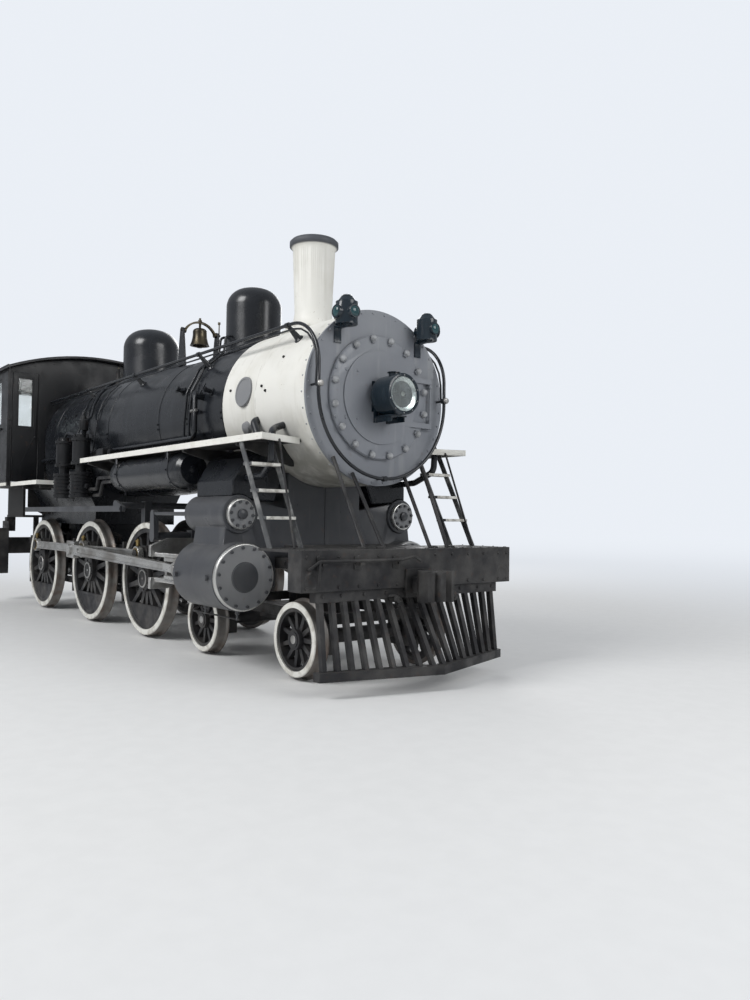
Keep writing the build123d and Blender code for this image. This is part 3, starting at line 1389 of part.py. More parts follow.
with BuildPart() as pipes:
    # Injector delivery and check valve on each side
    check_s = 2083
    check_out, check_h = around(COURSE_R, 12)
    add(tube([(check_s, check_out - 4, check_h), (check_s, check_out + 110, check_h)], 48, 0))
    add(tube([(check_s, check_out + 95, check_h), (check_s, check_out + 95, 2380),
              (CAB_FRONT - 2, check_out + 95, 2380)], 26, 80))
    mirror(about=Plane.XZ)
    add(boiler_cutter(0.5), mode=Mode.SUBTRACT)
    # Sand pipes down both sides of the first course
    for sand_s in (SAND_S - 60, SAND_S + 60):
        for side in (1, -1):
            pipe_r = COURSE_R + 42
            bends = [around(pipe_r, angle) for angle in (60, 38, 16, -6)]
            route = [(sand_s, side * (SAND_R + out), SAND_SEAT + 130) for out in (1, 80)]
            route += [(sand_s, side * out, height) for out, height in bends]
            route += [(sand_s, side * bends[-1][0], BOARD_TOP + 1)]
            add(tube(route, 15, 60))
finish(pipes.part, "pipes")


# Valve gear outside the frames, at rest
with BuildPart() as valve_gear:
    rocker_s = 2790
    rocker_h = 1262
    rod_end_h = CHEST_H
    add(tube([(CHEST_REAR + COVER_T + 1, CHEST_OUT, CHEST_H), (rocker_s, CHEST_OUT, rod_end_h)], 22, 0))
    with BuildSketch(side_plane(rocker_s, rocker_h, FRAME_IN + FRAME_T)):
        Circle(48)
    extrude(amount=CHEST_OUT + 30 - FRAME_IN - FRAME_T)
    with BuildSketch(side_plane(rocker_s, rocker_h, CHEST_OUT - 30)):
        Circle(66)
        with Locations((0, rod_end_h - rocker_h)):
            Circle(46)
        make_hull()
    extrude(amount=60)
    add(block(rocker_s - 70, rocker_s + 70, FRAME_IN + 10, FRAME_IN + FRAME_T - 10, FRAME_TOP, rocker_h + 70))
    mirror(about=Plane.XZ)
    # Lifting shaft and its reach rod on the right
    shaft_s = 4150
    shaft_h = 1640
    reach_h = 1590
    add(tube([(shaft_s, -FRAME_IN - 60, shaft_h), (shaft_s, 985, shaft_h)], 42, 0))
    with BuildSketch(side_plane(shaft_s, shaft_h, 955)):
        Circle(62)
        with Locations((240, reach_h - shaft_h)):
            Circle(36)
        make_hull()
    extrude(amount=36)
    add(block(shaft_s - 260, CAB_FRONT + 500, 1004, 1026, reach_h - 38, reach_h + 38))
    with BuildSketch(side_plane(shaft_s - 240, reach_h, 950)):
        Circle(20)
    extrude(amount=84)
    for side in (1, -1):
        add(block(shaft_s - 60, shaft_s + 60, side * (FRAME_IN + 10), side * (FRAME_IN + FRAME_T - 10),
                  FRAME_TOP, shaft_h + 60))
finish(valve_gear.part, "valve_gear")


# Cab
def roof_height(out):
    """Height of the roof's underside at this distance from the centre line."""
    rise = ROOF_APEX - ROOF_EAVE
    radius = (ROOF_HALF ** 2 + rise ** 2) / (2 * rise)
    return ROOF_APEX - ROOF_T - radius + sqrt(radius ** 2 - out ** 2)


def cab_outline(half):
    """Face outline of a cab end wall between its bottom and the roof."""
    with BuildSketch() as outline:
        with BuildLine():
            corner_h = roof_height(half) - 1
            Line((-half, CAB_BOTTOM), (-half, corner_h))
            ThreePointArc((-half, corner_h), (0, roof_height(0) - 1), (half, corner_h))
            Line((half, corner_h), (half, CAB_BOTTOM))
            Line((half, CAB_BOTTOM), (-half, CAB_BOTTOM))
        make_face()
    return outline.sketch


with BuildPart() as cab_front:
    door_mid = (CAB_DOOR_IN + CAB_DOOR_OUT) / 2
    with BuildSketch(cross_plane(CAB_FRONT + CAB_WALL)):
        add(cab_outline(CAB_HALF - CAB_WALL))
        for side in (1, -1):
            with Locations((side * door_mid, (CAB_DOOR_SILL + CAB_DOOR_TOP) / 2)):
                Rectangle(CAB_DOOR_OUT - CAB_DOOR_IN, CAB_DOOR_TOP - CAB_DOOR_SILL, mode=Mode.SUBTRACT)
        with Locations((0, BOILER_H)):
            Circle(WAISTED_R + 2, mode=Mode.SUBTRACT)
        with Locations((0, BOILER_H / 2)):
            Rectangle(2 * WAISTED_R + 4, BOILER_H, mode=Mode.SUBTRACT)
    extrude(amount=CAB_WALL)
finish(cab_front.part, "cab_front")


def cab_door():
    """Narrow front door on the right side with its window."""
    gap = CLEAR
    with BuildPart() as door:
        with BuildSketch(cross_plane(CAB_FRONT + CAB_WALL - 2)):
            with Locations((-door_mid, (CAB_DOOR_SILL + CAB_DOOR_TOP) / 2)):
                Rectangle(CAB_DOOR_OUT - CAB_DOOR_IN - 2 * gap, CAB_DOOR_TOP - CAB_DOOR_SILL - 2 * gap)
            with Locations((-door_mid, (WINDOW_BOTTOM + WINDOW_TOP) / 2)):
                Rectangle(250, WINDOW_TOP - WINDOW_BOTTOM, mode=Mode.SUBTRACT)
        extrude(amount=CAB_WALL - 2)
        for height in (2300, 3600):
            with BuildSketch(flat_plane(height)):
                with Locations((station(CAB_FRONT - 9), -CAB_DOOR_OUT + CLEAR + 4)):
                    Circle(9)
            extrude(amount=110)
        with BuildSketch(cross_plane(CAB_FRONT, 2760)):
            with Locations((-CAB_DOOR_IN - 50, 0)):
                Circle(14)
        extrude(amount=50)
    return door.part


with BuildPart() as cab_door_right:
    add(cab_door())
finish(cab_door_right.part, "cab_door_right")

with BuildPart() as cab_door_left:
    add(left_copy(cab_door()))
finish(cab_door_left.part, "cab_door_left")


def cab_side():
    """Right side wall with its two windows and the gangway cut at the rear."""
    side_top = roof_height(CAB_HALF) - 2
    with BuildPart() as side:
        with BuildSketch(side_plane(0, 0, CAB_HALF - CAB_WALL)):
            with BuildLine():
                Polyline((-CAB_FRONT, CAB_BOTTOM), (-CAB_FRONT, side_top), (-CAB_REAR, side_top),
                         (-CAB_REAR, CAB_BOTTOM + 120), (-CAB_REAR + 120, CAB_BOTTOM), close=True)
            make_face()
            for window_s in SIDE_WINDOWS:
                with Locations((-window_s, (WINDOW_BOTTOM + WINDOW_TOP) / 2)):
                    Rectangle(SIDE_WINDOW_W, WINDOW_TOP - WINDOW_BOTTOM - 40, mode=Mode.SUBTRACT)
        extrude(amount=CAB_WALL)
    return side.part


with BuildPart() as cab_side_right:
    add(cab_side())
finish(cab_side_right.part, "cab_side_right")

with BuildPart() as cab_side_left:
    add(left_copy(cab_side()))
finish(cab_side_left.part, "cab_side_left")

with BuildPart() as cab_rear:
    with BuildSketch(cross_plane(CAB_REAR)):
        add(cab_outline(CAB_HALF - CAB_WALL))
        with Locations((0, (DECK_H + 3700) / 2)):
            Rectangle(2300, 3700 - DECK_H, mode=Mode.SUBTRACT)
    extrude(amount=CAB_WALL)
finish(cab_rear.part, "cab_rear")

with BuildPart() as cab_roof:
    roof_rise = ROOF_APEX - ROOF_EAVE
    with BuildSketch(cross_plane(ROOF_REAR)):
        with BuildLine():
            ThreePointArc((-ROOF_HALF, ROOF_EAVE), (0, ROOF_APEX), (ROOF_HALF, ROOF_EAVE))
            Line((ROOF_HALF, ROOF_EAVE), (ROOF_HALF, ROOF_EAVE - ROOF_T))
            ThreePointArc((ROOF_HALF, ROOF_EAVE - ROOF_T), (0, ROOF_APEX - ROOF_T),
                          (-ROOF_HALF, ROOF_EAVE - ROOF_T))
            Line((-ROOF_HALF, ROOF_EAVE - ROOF_T), (-ROOF_HALF, ROOF_EAVE))
        make_face()
    extrude(amount=ROOF_REAR - ROOF_FRONT)
finish(cab_roof.part, "cab_roof")

with BuildPart() as cab_floor:
    floor_in = WAISTED_R + 12
    add(block(CAB_FRONT + CAB_WALL + 2, CAB_REAR - CAB_WALL - 2, floor_in, CAB_HALF - CAB_WALL - 1,
              APRON_TOP - FLOOR_T, APRON_TOP))
    add(block(BACKHEAD + 30, CAB_REAR - CAB_WALL - 2, floor_in, floor_in + 40, DECK_H, APRON_TOP - FLOOR_T))
    mirror(about=Plane.XZ)
    add(block(BACKHEAD + 30, CAB_REAR, -floor_in - 40, floor_in + 40, DECK_H - FLOOR_T, DECK_H))
    for out in (-FRAME_IN - 50, FRAME_IN + 50):
        add(block(BACKHEAD + 560, BACKHEAD + 620, out - 40, out + 40, FRAME_TOP, DECK_H - FLOOR_T))
finish(cab_floor.part, "cab_floor")

with BuildPart() as cab_glass:
    glass_t = 6
    pane_half = SIDE_WINDOW_W / 2 - 1
    for window_s in SIDE_WINDOWS:
        for side in (1, -1):
            add(block(window_s - pane_half, window_s + pane_half,
                      side * (CAB_HALF - 16 - glass_t), side * (CAB_HALF - 16),
                      WINDOW_BOTTOM + 21, WINDOW_TOP - 21))
finish(cab_glass.part, "cab_glass")

with BuildPart() as backhead:
    with BuildSketch(cross_plane(BACKHEAD + 26)):
        plate_half = WAISTED_R - 20
        foot_half = FRAME_IN + 100
        Polygon((-plate_half, BOILER_H), (-plate_half, DECK_H + 140), (-foot_half, DECK_H + 10),
                (foot_half, DECK_H + 10), (plate_half, DECK_H + 140), (plate_half, BOILER_H), align=None)
        with Locations((0, BOILER_H)):
            Circle(WAISTED_R - 20)
    extrude(amount=25)
    with BuildSketch(cross_plane(BACKHEAD + 66, 1990)):
        Ellipse(250, 190)
    extrude(amount=40)
    for out, height, radius in ((-260, 3300, 95), (40, 3340, 95), (300, 3260, 80)):
        with BuildSketch(cross_plane(BACKHEAD + 86, height)):
            with Locations((out, 0)):
                Circle(radius)
        extrude(amount=60)
    add(tube([(BACKHEAD + 20, 0, 3090), (BACKHEAD + 190, 0, 3090)], 30, 0))
    add(tube([(BACKHEAD + 180, -40, 3090), (BACKHEAD + 180, 560, 3010)], 17, 0))
    add(tube([(BACKHEAD + 20, -430, 2560), (BACKHEAD + 90, -430, 2560)], 90, 0))
finish(backhead.part, "backhead")

with BuildPart() as reverse_lever:
    lever_s = BACKHEAD + 120
    add(block(lever_s - 240, lever_s + 240, 1010, 1050, APRON_TOP, APRON_TOP + 60))
    with BuildSketch(side_plane(lever_s, APRON_TOP + 40, 1030)):
        Polygon((-30, 0), (30, 0), (-60, 980), (-90, 980), align=None)
    extrude(amount=20)
finish(reverse_lever.part, "reverse_lever")

with BuildPart() as seats:
    seat_out = CAB_HALF - CAB_WALL - 8
    add(block(CAB_REAR - 640, CAB_REAR - 130, 1090, seat_out, APRON_TOP, APRON_TOP + 420))
    add(block(CAB_REAR - 650, CAB_REAR - 120, 1080, seat_out, APRON_TOP + 420, APRON_TOP + 500))
    mirror(about=Plane.XZ)
finish(seats.part, "seats")

with BuildPart() as cab_steps:
    step_s = CAB_REAR - 200
    for height in (480, 860, 1240):
        add(block(step_s - 190, step_s + 190, 1010, 1290, height, height + 24))
        add(block(step_s - 190, step_s + 190, 1000, 1012, height, height + 150))
    for end_s in (step_s - 190, step_s + 176):
        add(block(end_s, end_s + 14, 1000, 1290, 470, 1250))
    add(block(step_s - 60, step_s + 60, 860, 1010, 1210, DECK_H - FLOOR_T))
    add(tube([(CAB_REAR + 40, CAB_HALF - 60, 2010), (CAB_REAR + 90, CAB_HALF - 60, 2040),
              (CAB_REAR + 90, CAB_HALF - 60, 3100), (CAB_REAR + 40, CAB_HALF - 60, 3130)], 15, 22))
    mirror(about=Plane.XZ)
finish(cab_steps.part, "cab_steps")
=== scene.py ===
import json
from math import atan2, cos, degrees, pi, radians, sin, sqrt

import bmesh
import bpy
from mathutils import Matrix, Vector
from mathutils.bvhtree import BVHTree

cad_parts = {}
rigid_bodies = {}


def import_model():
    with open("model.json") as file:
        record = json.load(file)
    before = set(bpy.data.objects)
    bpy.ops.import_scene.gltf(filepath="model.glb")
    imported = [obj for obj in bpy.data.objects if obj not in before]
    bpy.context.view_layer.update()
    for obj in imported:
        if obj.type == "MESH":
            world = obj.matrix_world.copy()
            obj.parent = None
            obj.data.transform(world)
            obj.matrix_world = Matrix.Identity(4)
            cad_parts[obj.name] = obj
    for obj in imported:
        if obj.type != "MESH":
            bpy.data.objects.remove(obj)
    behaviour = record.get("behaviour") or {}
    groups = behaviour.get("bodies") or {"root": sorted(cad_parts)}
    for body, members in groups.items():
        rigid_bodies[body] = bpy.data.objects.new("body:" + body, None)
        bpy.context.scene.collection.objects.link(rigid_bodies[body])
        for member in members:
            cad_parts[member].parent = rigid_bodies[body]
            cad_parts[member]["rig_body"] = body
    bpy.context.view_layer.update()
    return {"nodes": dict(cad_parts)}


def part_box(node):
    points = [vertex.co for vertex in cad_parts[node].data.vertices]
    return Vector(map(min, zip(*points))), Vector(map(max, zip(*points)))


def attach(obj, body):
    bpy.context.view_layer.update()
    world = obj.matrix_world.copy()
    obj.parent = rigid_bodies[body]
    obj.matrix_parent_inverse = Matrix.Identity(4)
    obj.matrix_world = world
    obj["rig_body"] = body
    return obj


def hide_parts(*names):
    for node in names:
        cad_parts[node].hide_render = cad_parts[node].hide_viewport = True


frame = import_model()

# Looks of a ten-wheeled steam locomotive. Metres, +X forward, +Y to its left, +Z up.
# Lengthwise places are stations: the distance behind the smokebox front. Heights are above the rail.

# Places read from the frame
FRONT_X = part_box("smokebox")[1].x
RAIL_Z = 0.028
BOILER_H = (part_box("smokebox")[0].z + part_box("smokebox")[1].z) / 2 - RAIL_Z
SMOKEBOX_R = (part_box("smokebox")[1].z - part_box("smokebox")[0].z) / 2
SMOKEBOX_REAR = FRONT_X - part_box("smokebox")[0].x
BOARD_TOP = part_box("running_boards")[1].z - RAIL_Z

# Boiler and its mountings
COURSE_R, WAISTED_R = 0.832, 0.885
TAPER = (3.150, 4.300)
SMOKEBOX_SEAM = 0.874
FRONT_T, DOOR_FACE = 0.028, 0.068
STRAP_H = 0.23
STACK_S, STACK_TOP = 1.107, 4.466
SAND_DOME_S, SAND_DOME_R = 2.368, 0.332
STEAM_DOME_S, STEAM_DOME_R = 5.337, 0.406
RAIL_OUT, RAIL_H, RAIL_REACH = 0.795, 3.356, 1.036
RAIL_ANGLE = degrees(atan2(RAIL_H - BOILER_H, RAIL_OUT))
RAIL_POSTS = (0.398, 2.245, 4.056, 5.781)

# Wheels and cylinders
DRIVER_R, TRUCK_R = 0.711, 0.355
DRIVER_AXLES = {"front": 3.563, "main": 5.490, "rear": 7.620}
TRUCK_AXLES = {"front": 0.177, "rear": 2.003}
WHEEL_FACE = 0.822
CYL_OUT, CYL_H, CYL_R = 1.070, 0.915, 0.336
CYL_FRONT, CYL_REAR = 0.700, 1.530
CHEST_OUT, CHEST_H = 1.050, 1.526
CHEST_FRONT, CHEST_REAR = 0.810, 1.630
COVER_T = 0.042

# Boards, reservoirs, pumps and front end
BOARD_OUT = 1.297
TANK_OUT, TANK_H, TANK_R = 1.085, 1.999, 0.205
PUMPS = (5.040, 5.720)
PUMP_OUT, PUMP_LOW, PUMP_TALL = 1.130, 1.745, 0.875
GOVERNOR_S, GOVERNOR_OUT = 5.30, 1.010
LADDER_OUT, RUNG_HALF = 1.110, 0.1555
BEAM_FACE, DECK_TOP = -0.620, 1.222

# Cab
CAB_FRONT, CAB_REAR = 7.442, 9.342
CAB_HALF = 1.470
CAB_LOW, APRON_TOP = 1.960, 2.010
BACKHEAD = 8.376
ROOF_HALF, ROOF_RISE, ROOF_TOP = 1.525, 0.317, 4.167

# The photograph's camera, worked out from the wheels, boiler and cab
CAMERA_PLACE = (10.373, -5.026, 1.510)
CAMERA_YAW, CAMERA_PITCH, CAMERA_ROLL = 39.515, 1.439, 0.68
CAMERA_LENS = 800.1 / 1000 * 36

# Sky and ground
PALE_SKY = (0.90, 0.94, 1.0)
SKY_SEEN, SKY_ON_OBJECT = 0.92, 0.40
FADE_STARTS, FADE_ENDS = 7.0, 90.0


def at(behind, out, height):
    """Point of the frame from a station, a distance out to the right and a height."""
    return Vector((FRONT_X - behind, -out, RAIL_Z + height))


# Materials

class Finish:
    """A procedural material under construction, on object coordinates."""

    def __init__(self, name, roughness=0.5, metallic=0.0, gleam=0.5):
        self.material = bpy.data.materials.new(name)
        self.material.use_nodes = True
        self.tree = self.material.node_tree
        self.surface = self.tree.nodes["Principled BSDF"]
        starts = {"Roughness": roughness, "Metallic": metallic, "Specular IOR Level": gleam}
        for socket, value in starts.items():
            self.put(self.surface, socket, value)
        coordinates = self.add("TexCoord").outputs
        self.place, self.facing = coordinates["Object"], coordinates["Normal"]

    def join(self, source, socket):
        self.tree.links.new(source, socket)

    def put(self, node, name, value):
        """A value or another node's output on an input."""
        socket = node.inputs[name]
        if isinstance(value, bpy.types.NodeSocket):
            self.join(value, socket)
        else:
            socket.default_value = value

    def add(self, kind, **values):
        """A new node with values or other nodes' outputs on its inputs."""
        node = self.tree.nodes.new(f"ShaderNode{kind}")
        for name, value in values.items():
            self.put(node, name.replace("_", " "), value)
        return node

    def noise(self, scale, detail, stretch=(1, 1, 1)):
        mapping = self.add("Mapping", Vector=self.place, Scale=stretch)
        node = self.add("TexNoise", Vector=mapping.outputs["Vector"], Scale=scale, Detail=detail)
        return node.outputs["Fac"]

    def spots(self, scale):
        return self.add("TexVoronoi", Vector=self.place, Scale=scale).outputs["Distance"]

    def span(self, value, low, high, to_low=0.0, to_high=1.0):
        """Value from low to high carried to a new range, held at its ends."""
        node = self.add("MapRange", Value=value, From_Min=low, From_Max=high, To_Min=to_low, To_Max=to_high)
        node.interpolation_type = "SMOOTHSTEP"
        return node.outputs["Result"]

    def cloud(self, grain, low, high, to_low=0.0, to_high=1.0):
        """Noise carried to a range; its grain is a scale, a detail and perhaps a stretch."""
        return self.span(self.noise(*grain), low, high, to_low, to_high)

    def maths(self, operation, a, b=0.0):
        node = self.add("Math")
        node.operation = operation
        self.put(node, 0, a)
        self.put(node, 1, b)
        return node.outputs["Value"]

    def times(self, a, b):
        return self.maths("MULTIPLY", a, b)

    def plus(self, a, b):
        return self.maths("ADD", a, b)

    def minus(self, a, b):
        return self.maths("SUBTRACT", a, b)

    def larger(self, a, b):
        return self.maths("MAXIMUM", a, b)

    def distance(self, a, b):
        """Square root of the sum of two squares."""
        return self.maths("SQRT", self.plus(self.times(a, a), self.times(b, b)))

    def axis(self, name, source=None):
        """One axis of the place, or of another vector."""
        return self.add("SeparateXYZ", Vector=source or self.place).outputs[name]

    def mix(self, share, a, b):
        """Colour between two colours."""
        node = self.add("Mix")
        node.data_type = "RGBA"
        for index, value in ((0, share), (6, a), (7, b)):
            self.put(node, index, (*value, 1.0) if isinstance(value, tuple) else value)
        return node.outputs[2]

    def colour(self, value):
        self.join(value, self.surface.inputs["Base Color"])

    def rough(self, value):
        self.join(value, self.surface.inputs["Roughness"])

    def bump(self, height, strength, distance):
        node = self.add("Bump", Height=height, Strength=strength, Distance=distance)
        self.join(node.outputs["Normal"], self.surface.inputs["Normal"])


def paint(name, base, dusty, roughness, dust, streak, rust=0.0, gleam=0.5):
    """Old outdoor paint: tone patches, dust on top faces, rain streaks and a fine brushed grain."""
    finish = Finish(name, gleam=gleam)
    patches = finish.cloud((1.7, 5), 0.35, 0.7)
    upward = finish.span(finish.axis("Z", finish.facing), 0.25, 0.95)
    dust_share = finish.times(upward, finish.cloud((5.5, 6), 0.3, 0.65, 0.15, dust))
    streaks = finish.cloud((9.0, 3, (1, 1, 0.08)), 0.5, 0.78, 0.0, streak)
    share = finish.larger(finish.times(patches, streak * 0.5), streaks)
    share = finish.larger(share, dust_share)
    tone = finish.mix(share, base, dusty)
    if rust:
        worn = finish.cloud((14.0, 8), 0.62, 0.74, 0.0, rust)
        tone = finish.mix(worn, tone, (0.16, 0.07, 0.035))
    finish.colour(tone)
    gloss = finish.cloud((3.4, 5), 0.3, 0.75, roughness * 0.8, roughness * 1.35)
    finish.rough(finish.plus(gloss, finish.times(dust_share, 0.3)))
    finish.bump(finish.noise(38.0, 6), 0.4, 0.0012)
    return finish.material


def white_paint(name, low_shade_and_dirt, rim_height=None, seam=None):
    """Chalky white paint with grey stains, rust specks, painted shade and dirt towards its underside, and a
    plate seam.
    """
    finish = Finish(name)
    height = finish.axis("Z")
    stains = finish.cloud((2.6, 7), 0.42, 0.72, 0.0, 0.55)
    runs = finish.cloud((11.0, 4, (1, 1, 0.06)), 0.52, 0.8, 0.0, 0.5)
    # Painted shade and dirt: below the given height the white is darkened towards its underside to a dark
    # olive grey.
    underside_shade_and_dirt = finish.span(height, low_shade_and_dirt, low_shade_and_dirt + 0.75, 0.85, 0.0)
    underside_shade_and_dirt = finish.times(underside_shade_and_dirt, finish.cloud((6.0, 6), 0.25, 0.6, 0.4, 1.0))
    tone = finish.mix(stains, (0.80, 0.79, 0.74), (0.66, 0.64, 0.57))
    tone = finish.mix(runs, tone, (0.55, 0.53, 0.46))
    tone = finish.mix(underside_shade_and_dirt, tone, (0.21, 0.20, 0.17))
    specks = finish.span(finish.spots(26.0), 0.05, 0.12, 1.0, 0.0)
    specks = finish.times(specks, finish.cloud((4.0, 3), 0.55, 0.66))
    tone = finish.mix(specks, tone, (0.22, 0.12, 0.07))
    if seam:
        beside = finish.maths("ABSOLUTE", finish.minus(finish.axis("X"), at(seam, 0, 0).x))
        line = finish.times(finish.span(beside, 0.003, 0.006, 0.7, 0.0), finish.cloud((7.0, 4), 0.4, 0.6))
        tone = finish.mix(line, tone, (0.34, 0.32, 0.27))
    if rim_height:
        soot = finish.span(height, rim_height - 0.015, rim_height)
        tone = finish.mix(soot, tone, (0.07, 0.075, 0.085))
    finish.colour(tone)
    finish.rough(finish.cloud((5.0, 5), 0.3, 0.7, 0.42, 0.66))
    finish.bump(finish.noise(30.0, 6), 0.35, 0.0016)
    return finish.material


def worn_steel(name, base=(0.50, 0.50, 0.49), oil=0.6):
    """Bare machined steel with oil film and brown tarnish."""
    finish = Finish(name, metallic=0.85)
    film = finish.cloud((3.2, 6), 0.40, 0.70, 0.0, oil)
    tone = finish.mix(film, base, (0.12, 0.100, 0.082))
    brushed = finish.noise(110.0, 2, (0.05, 1, 1))
    finish.colour(tone)
    finish.rough(finish.plus(finish.span(brushed, 0.3, 0.7, 0.24, 0.42), finish.times(film, 0.25)))
    finish.bump(brushed, 0.08, 0.0004)
    return finish.material


def cast_iron(name, base=(0.014, 0.014, 0.016), dusty=(0.085, 0.082, 0.078), rust=0.25):
    """Oily cast running gear: rough skin, road dust and rust bloom."""
    finish = Finish(name, gleam=0.35)
    grime = finish.cloud((3.8, 8), 0.36, 0.72, 0.0, 0.65)
    upward = finish.span(finish.axis("Z", finish.facing), 0.4, 0.95, 0.0, 0.5)
    tone = finish.mix(finish.larger(grime, upward), base, dusty)
    bloom = finish.cloud((17.0, 8), 0.58, 0.74, 0.0, rust)
    tone = finish.mix(bloom, tone, (0.075, 0.040, 0.026))
    finish.colour(tone)
    finish.rough(finish.cloud((8.0, 6), 0.3, 0.7, 0.38, 0.72))
    finish.bump(finish.noise(55.0, 8), 0.55, 0.002)
    return finish.material


def wheel_paint(name, axle, tyre_low, tyre_high):
    """Black wheel whose outer rim face is painted white, with bright tread."""
    finish = Finish(name)
    across = finish.minus(finish.axis("X"), at(axle, 0, 0).x)
    above = finish.minus(finish.axis("Z"), RAIL_Z + tyre_high)
    radius = finish.distance(across, above)
    outward = finish.maths("ABSOLUTE", finish.axis("Y"))
    rim = finish.times(finish.span(radius, tyre_low - 0.002, tyre_low + 0.002),
                       finish.span(outward, WHEEL_FACE - 0.0165, WHEEL_FACE - 0.0155))
    tread = finish.times(finish.span(radius, tyre_high - 0.016, tyre_high - 0.012),
                         finish.span(outward, WHEEL_FACE - 0.006, WHEEL_FACE - 0.012))
    grime = finish.cloud((5.5, 8), 0.38, 0.72, 0.0, 0.6)
    centre_tone = finish.mix(grime, (0.014, 0.014, 0.016), (0.075, 0.070, 0.064))
    worn = finish.cloud((9.0, 8), 0.42, 0.7, 0.0, 0.7)
    rim_tone = finish.mix(worn, (0.74, 0.73, 0.68), (0.36, 0.33, 0.28))
    steel_tone = finish.mix(grime, (0.20, 0.19, 0.18), (0.12, 0.075, 0.050))
    finish.colour(finish.mix(tread, finish.mix(rim, centre_tone, rim_tone), steel_tone))
    finish.put(finish.surface, "Metallic", finish.times(tread, 0.8))
    finish.rough(finish.cloud((8.0, 6), 0.3, 0.7, 0.38, 0.68))
    finish.bump(finish.noise(45.0, 7), 0.4, 0.0015)
    return finish.material


def planks(name):
    """Oiled floor boards running lengthwise, with dark joints."""
    finish = Finish(name, roughness=0.6)
    upward = finish.span(finish.axis("Z", finish.facing), 0.6, 0.8)
    across = finish.axis("Y")
    joint = finish.maths("PINGPONG", across, 0.07)
    gap = finish.span(joint, 0.0, 0.006, 1.0, 0.0)
    grain = finish.noise(26.0, 6, (0.06, 1, 1))
    tone = finish.mix(finish.span(grain, 0.3, 0.7), (0.15, 0.085, 0.045), (0.26, 0.17, 0.10))
    tone = finish.mix(gap, tone, (0.02, 0.015, 0.01))
    finish.colour(finish.mix(upward, (0.016, 0.015, 0.015), tone))
    finish.bump(finish.minus(grain, gap), 0.5, 0.004)
    return finish.material


def ladder_paint(name):
    """Grey side bars with worn white rungs between them."""
    finish = Finish(name)
    inside = finish.maths("ABSOLUTE", finish.minus(finish.maths("ABSOLUTE", finish.axis("Y")), LADDER_OUT))
    rung = finish.span(inside, RUNG_HALF, RUNG_HALF + 0.001, 1.0, 0.0)
    wear = finish.cloud((13.0, 7), 0.42, 0.68, 0.0, 0.8)
    bars = finish.mix(finish.cloud((8.0, 6), 0.4, 0.7), (0.07, 0.073, 0.076), (0.24, 0.24, 0.235))
    steps = finish.mix(wear, (0.72, 0.71, 0.66), (0.27, 0.25, 0.22))
    finish.colour(finish.mix(rung, bars, steps))
    finish.rough(finish.cloud((9.0, 4), 0.3, 0.7, 0.45, 0.7))
    finish.bump(finish.noise(40.0, 6), 0.4, 0.0015)
    return finish.material


def tread_plate(name, base, dusty):
    """Steel deck painted black, with raised diamond treads on its top face."""
    finish = Finish(name)
    upward = finish.span(finish.axis("Z", finish.facing), 0.85, 0.95)
    lean = finish.plus(finish.axis("X"), finish.axis("Y"))
    cross = finish.minus(finish.axis("X"), finish.axis("Y"))
    treads = finish.times(finish.maths("PINGPONG", lean, 0.021), finish.maths("PINGPONG", cross, 0.021))
    treads = finish.times(finish.span(treads, 0.00012, 0.0003), upward)
    grime = finish.cloud((4.5, 7), 0.38, 0.72, 0.0, 0.75)
    finish.colour(finish.mix(grime, base, dusty))
    finish.rough(finish.cloud((9.0, 5), 0.3, 0.7, 0.38, 0.68))
    finish.bump(finish.plus(treads, finish.times(finish.noise(45.0, 6), 0.25)), 0.6, 0.003)
    return finish.material


def plain(name, colour, roughness, metallic=0.0, grain=30.0):
    """One even finish with faint mottling, for small parts."""
    finish = Finish(name, metallic=metallic)
    dull = tuple(part * 0.62 for part in colour)
    finish.colour(finish.mix(finish.cloud((grain, 5), 0.35, 0.7), colour, dull))
    finish.rough(finish.cloud((grain * 0.7, 4), 0.3, 0.7, roughness * 0.8, roughness * 1.25))
    finish.bump(finish.noise(grain * 3, 4), 0.2, 0.0006)
    return finish.material


def leather(name):
    """Brown leather with fine creases, worn lighter in patches."""
    finish = Finish(name)
    creases = finish.spots(70.0)
    worn = finish.cloud((6.0, 5), 0.45, 0.75, 0.0, 0.7)
    finish.colour(finish.mix(worn, (0.05, 0.028, 0.018), (0.17, 0.10, 0.06)))
    finish.rough(finish.cloud((12.0, 4), 0.3, 0.7, 0.4, 0.62))
    finish.bump(creases, 0.35, 0.002)
    return finish.material


def window_glass(name):
    """Clear glass under a faint film of grime."""
    finish = Finish(name, roughness=0.06)
    finish.put(finish.surface, "Transmission Weight", 0.92)
    finish.put(finish.surface, "IOR", 1.45)
    film = finish.cloud((4.0, 6), 0.4, 0.75, 0.0, 0.35)
    finish.colour(finish.mix(film, (0.86, 0.91, 0.90), (0.55, 0.57, 0.53)))
    finish.rough(finish.cloud((9.0, 5), 0.35, 0.7, 0.03, 0.16))
    return finish.material


def brass(name, bright, dull):
    """Old brass or bronze, bright where it is rubbed and dull elsewhere."""
    finish = Finish(name, metallic=0.9)
    tarnish = finish.cloud((7.0, 7), 0.32, 0.66, 0.1, 0.85)
    finish.colour(finish.mix(tarnish, bright, dull))
    finish.rough(finish.cloud((11.0, 5), 0.3, 0.7, 0.28, 0.55))
    finish.bump(finish.noise(50.0, 4), 0.15, 0.0008)
    return finish.material


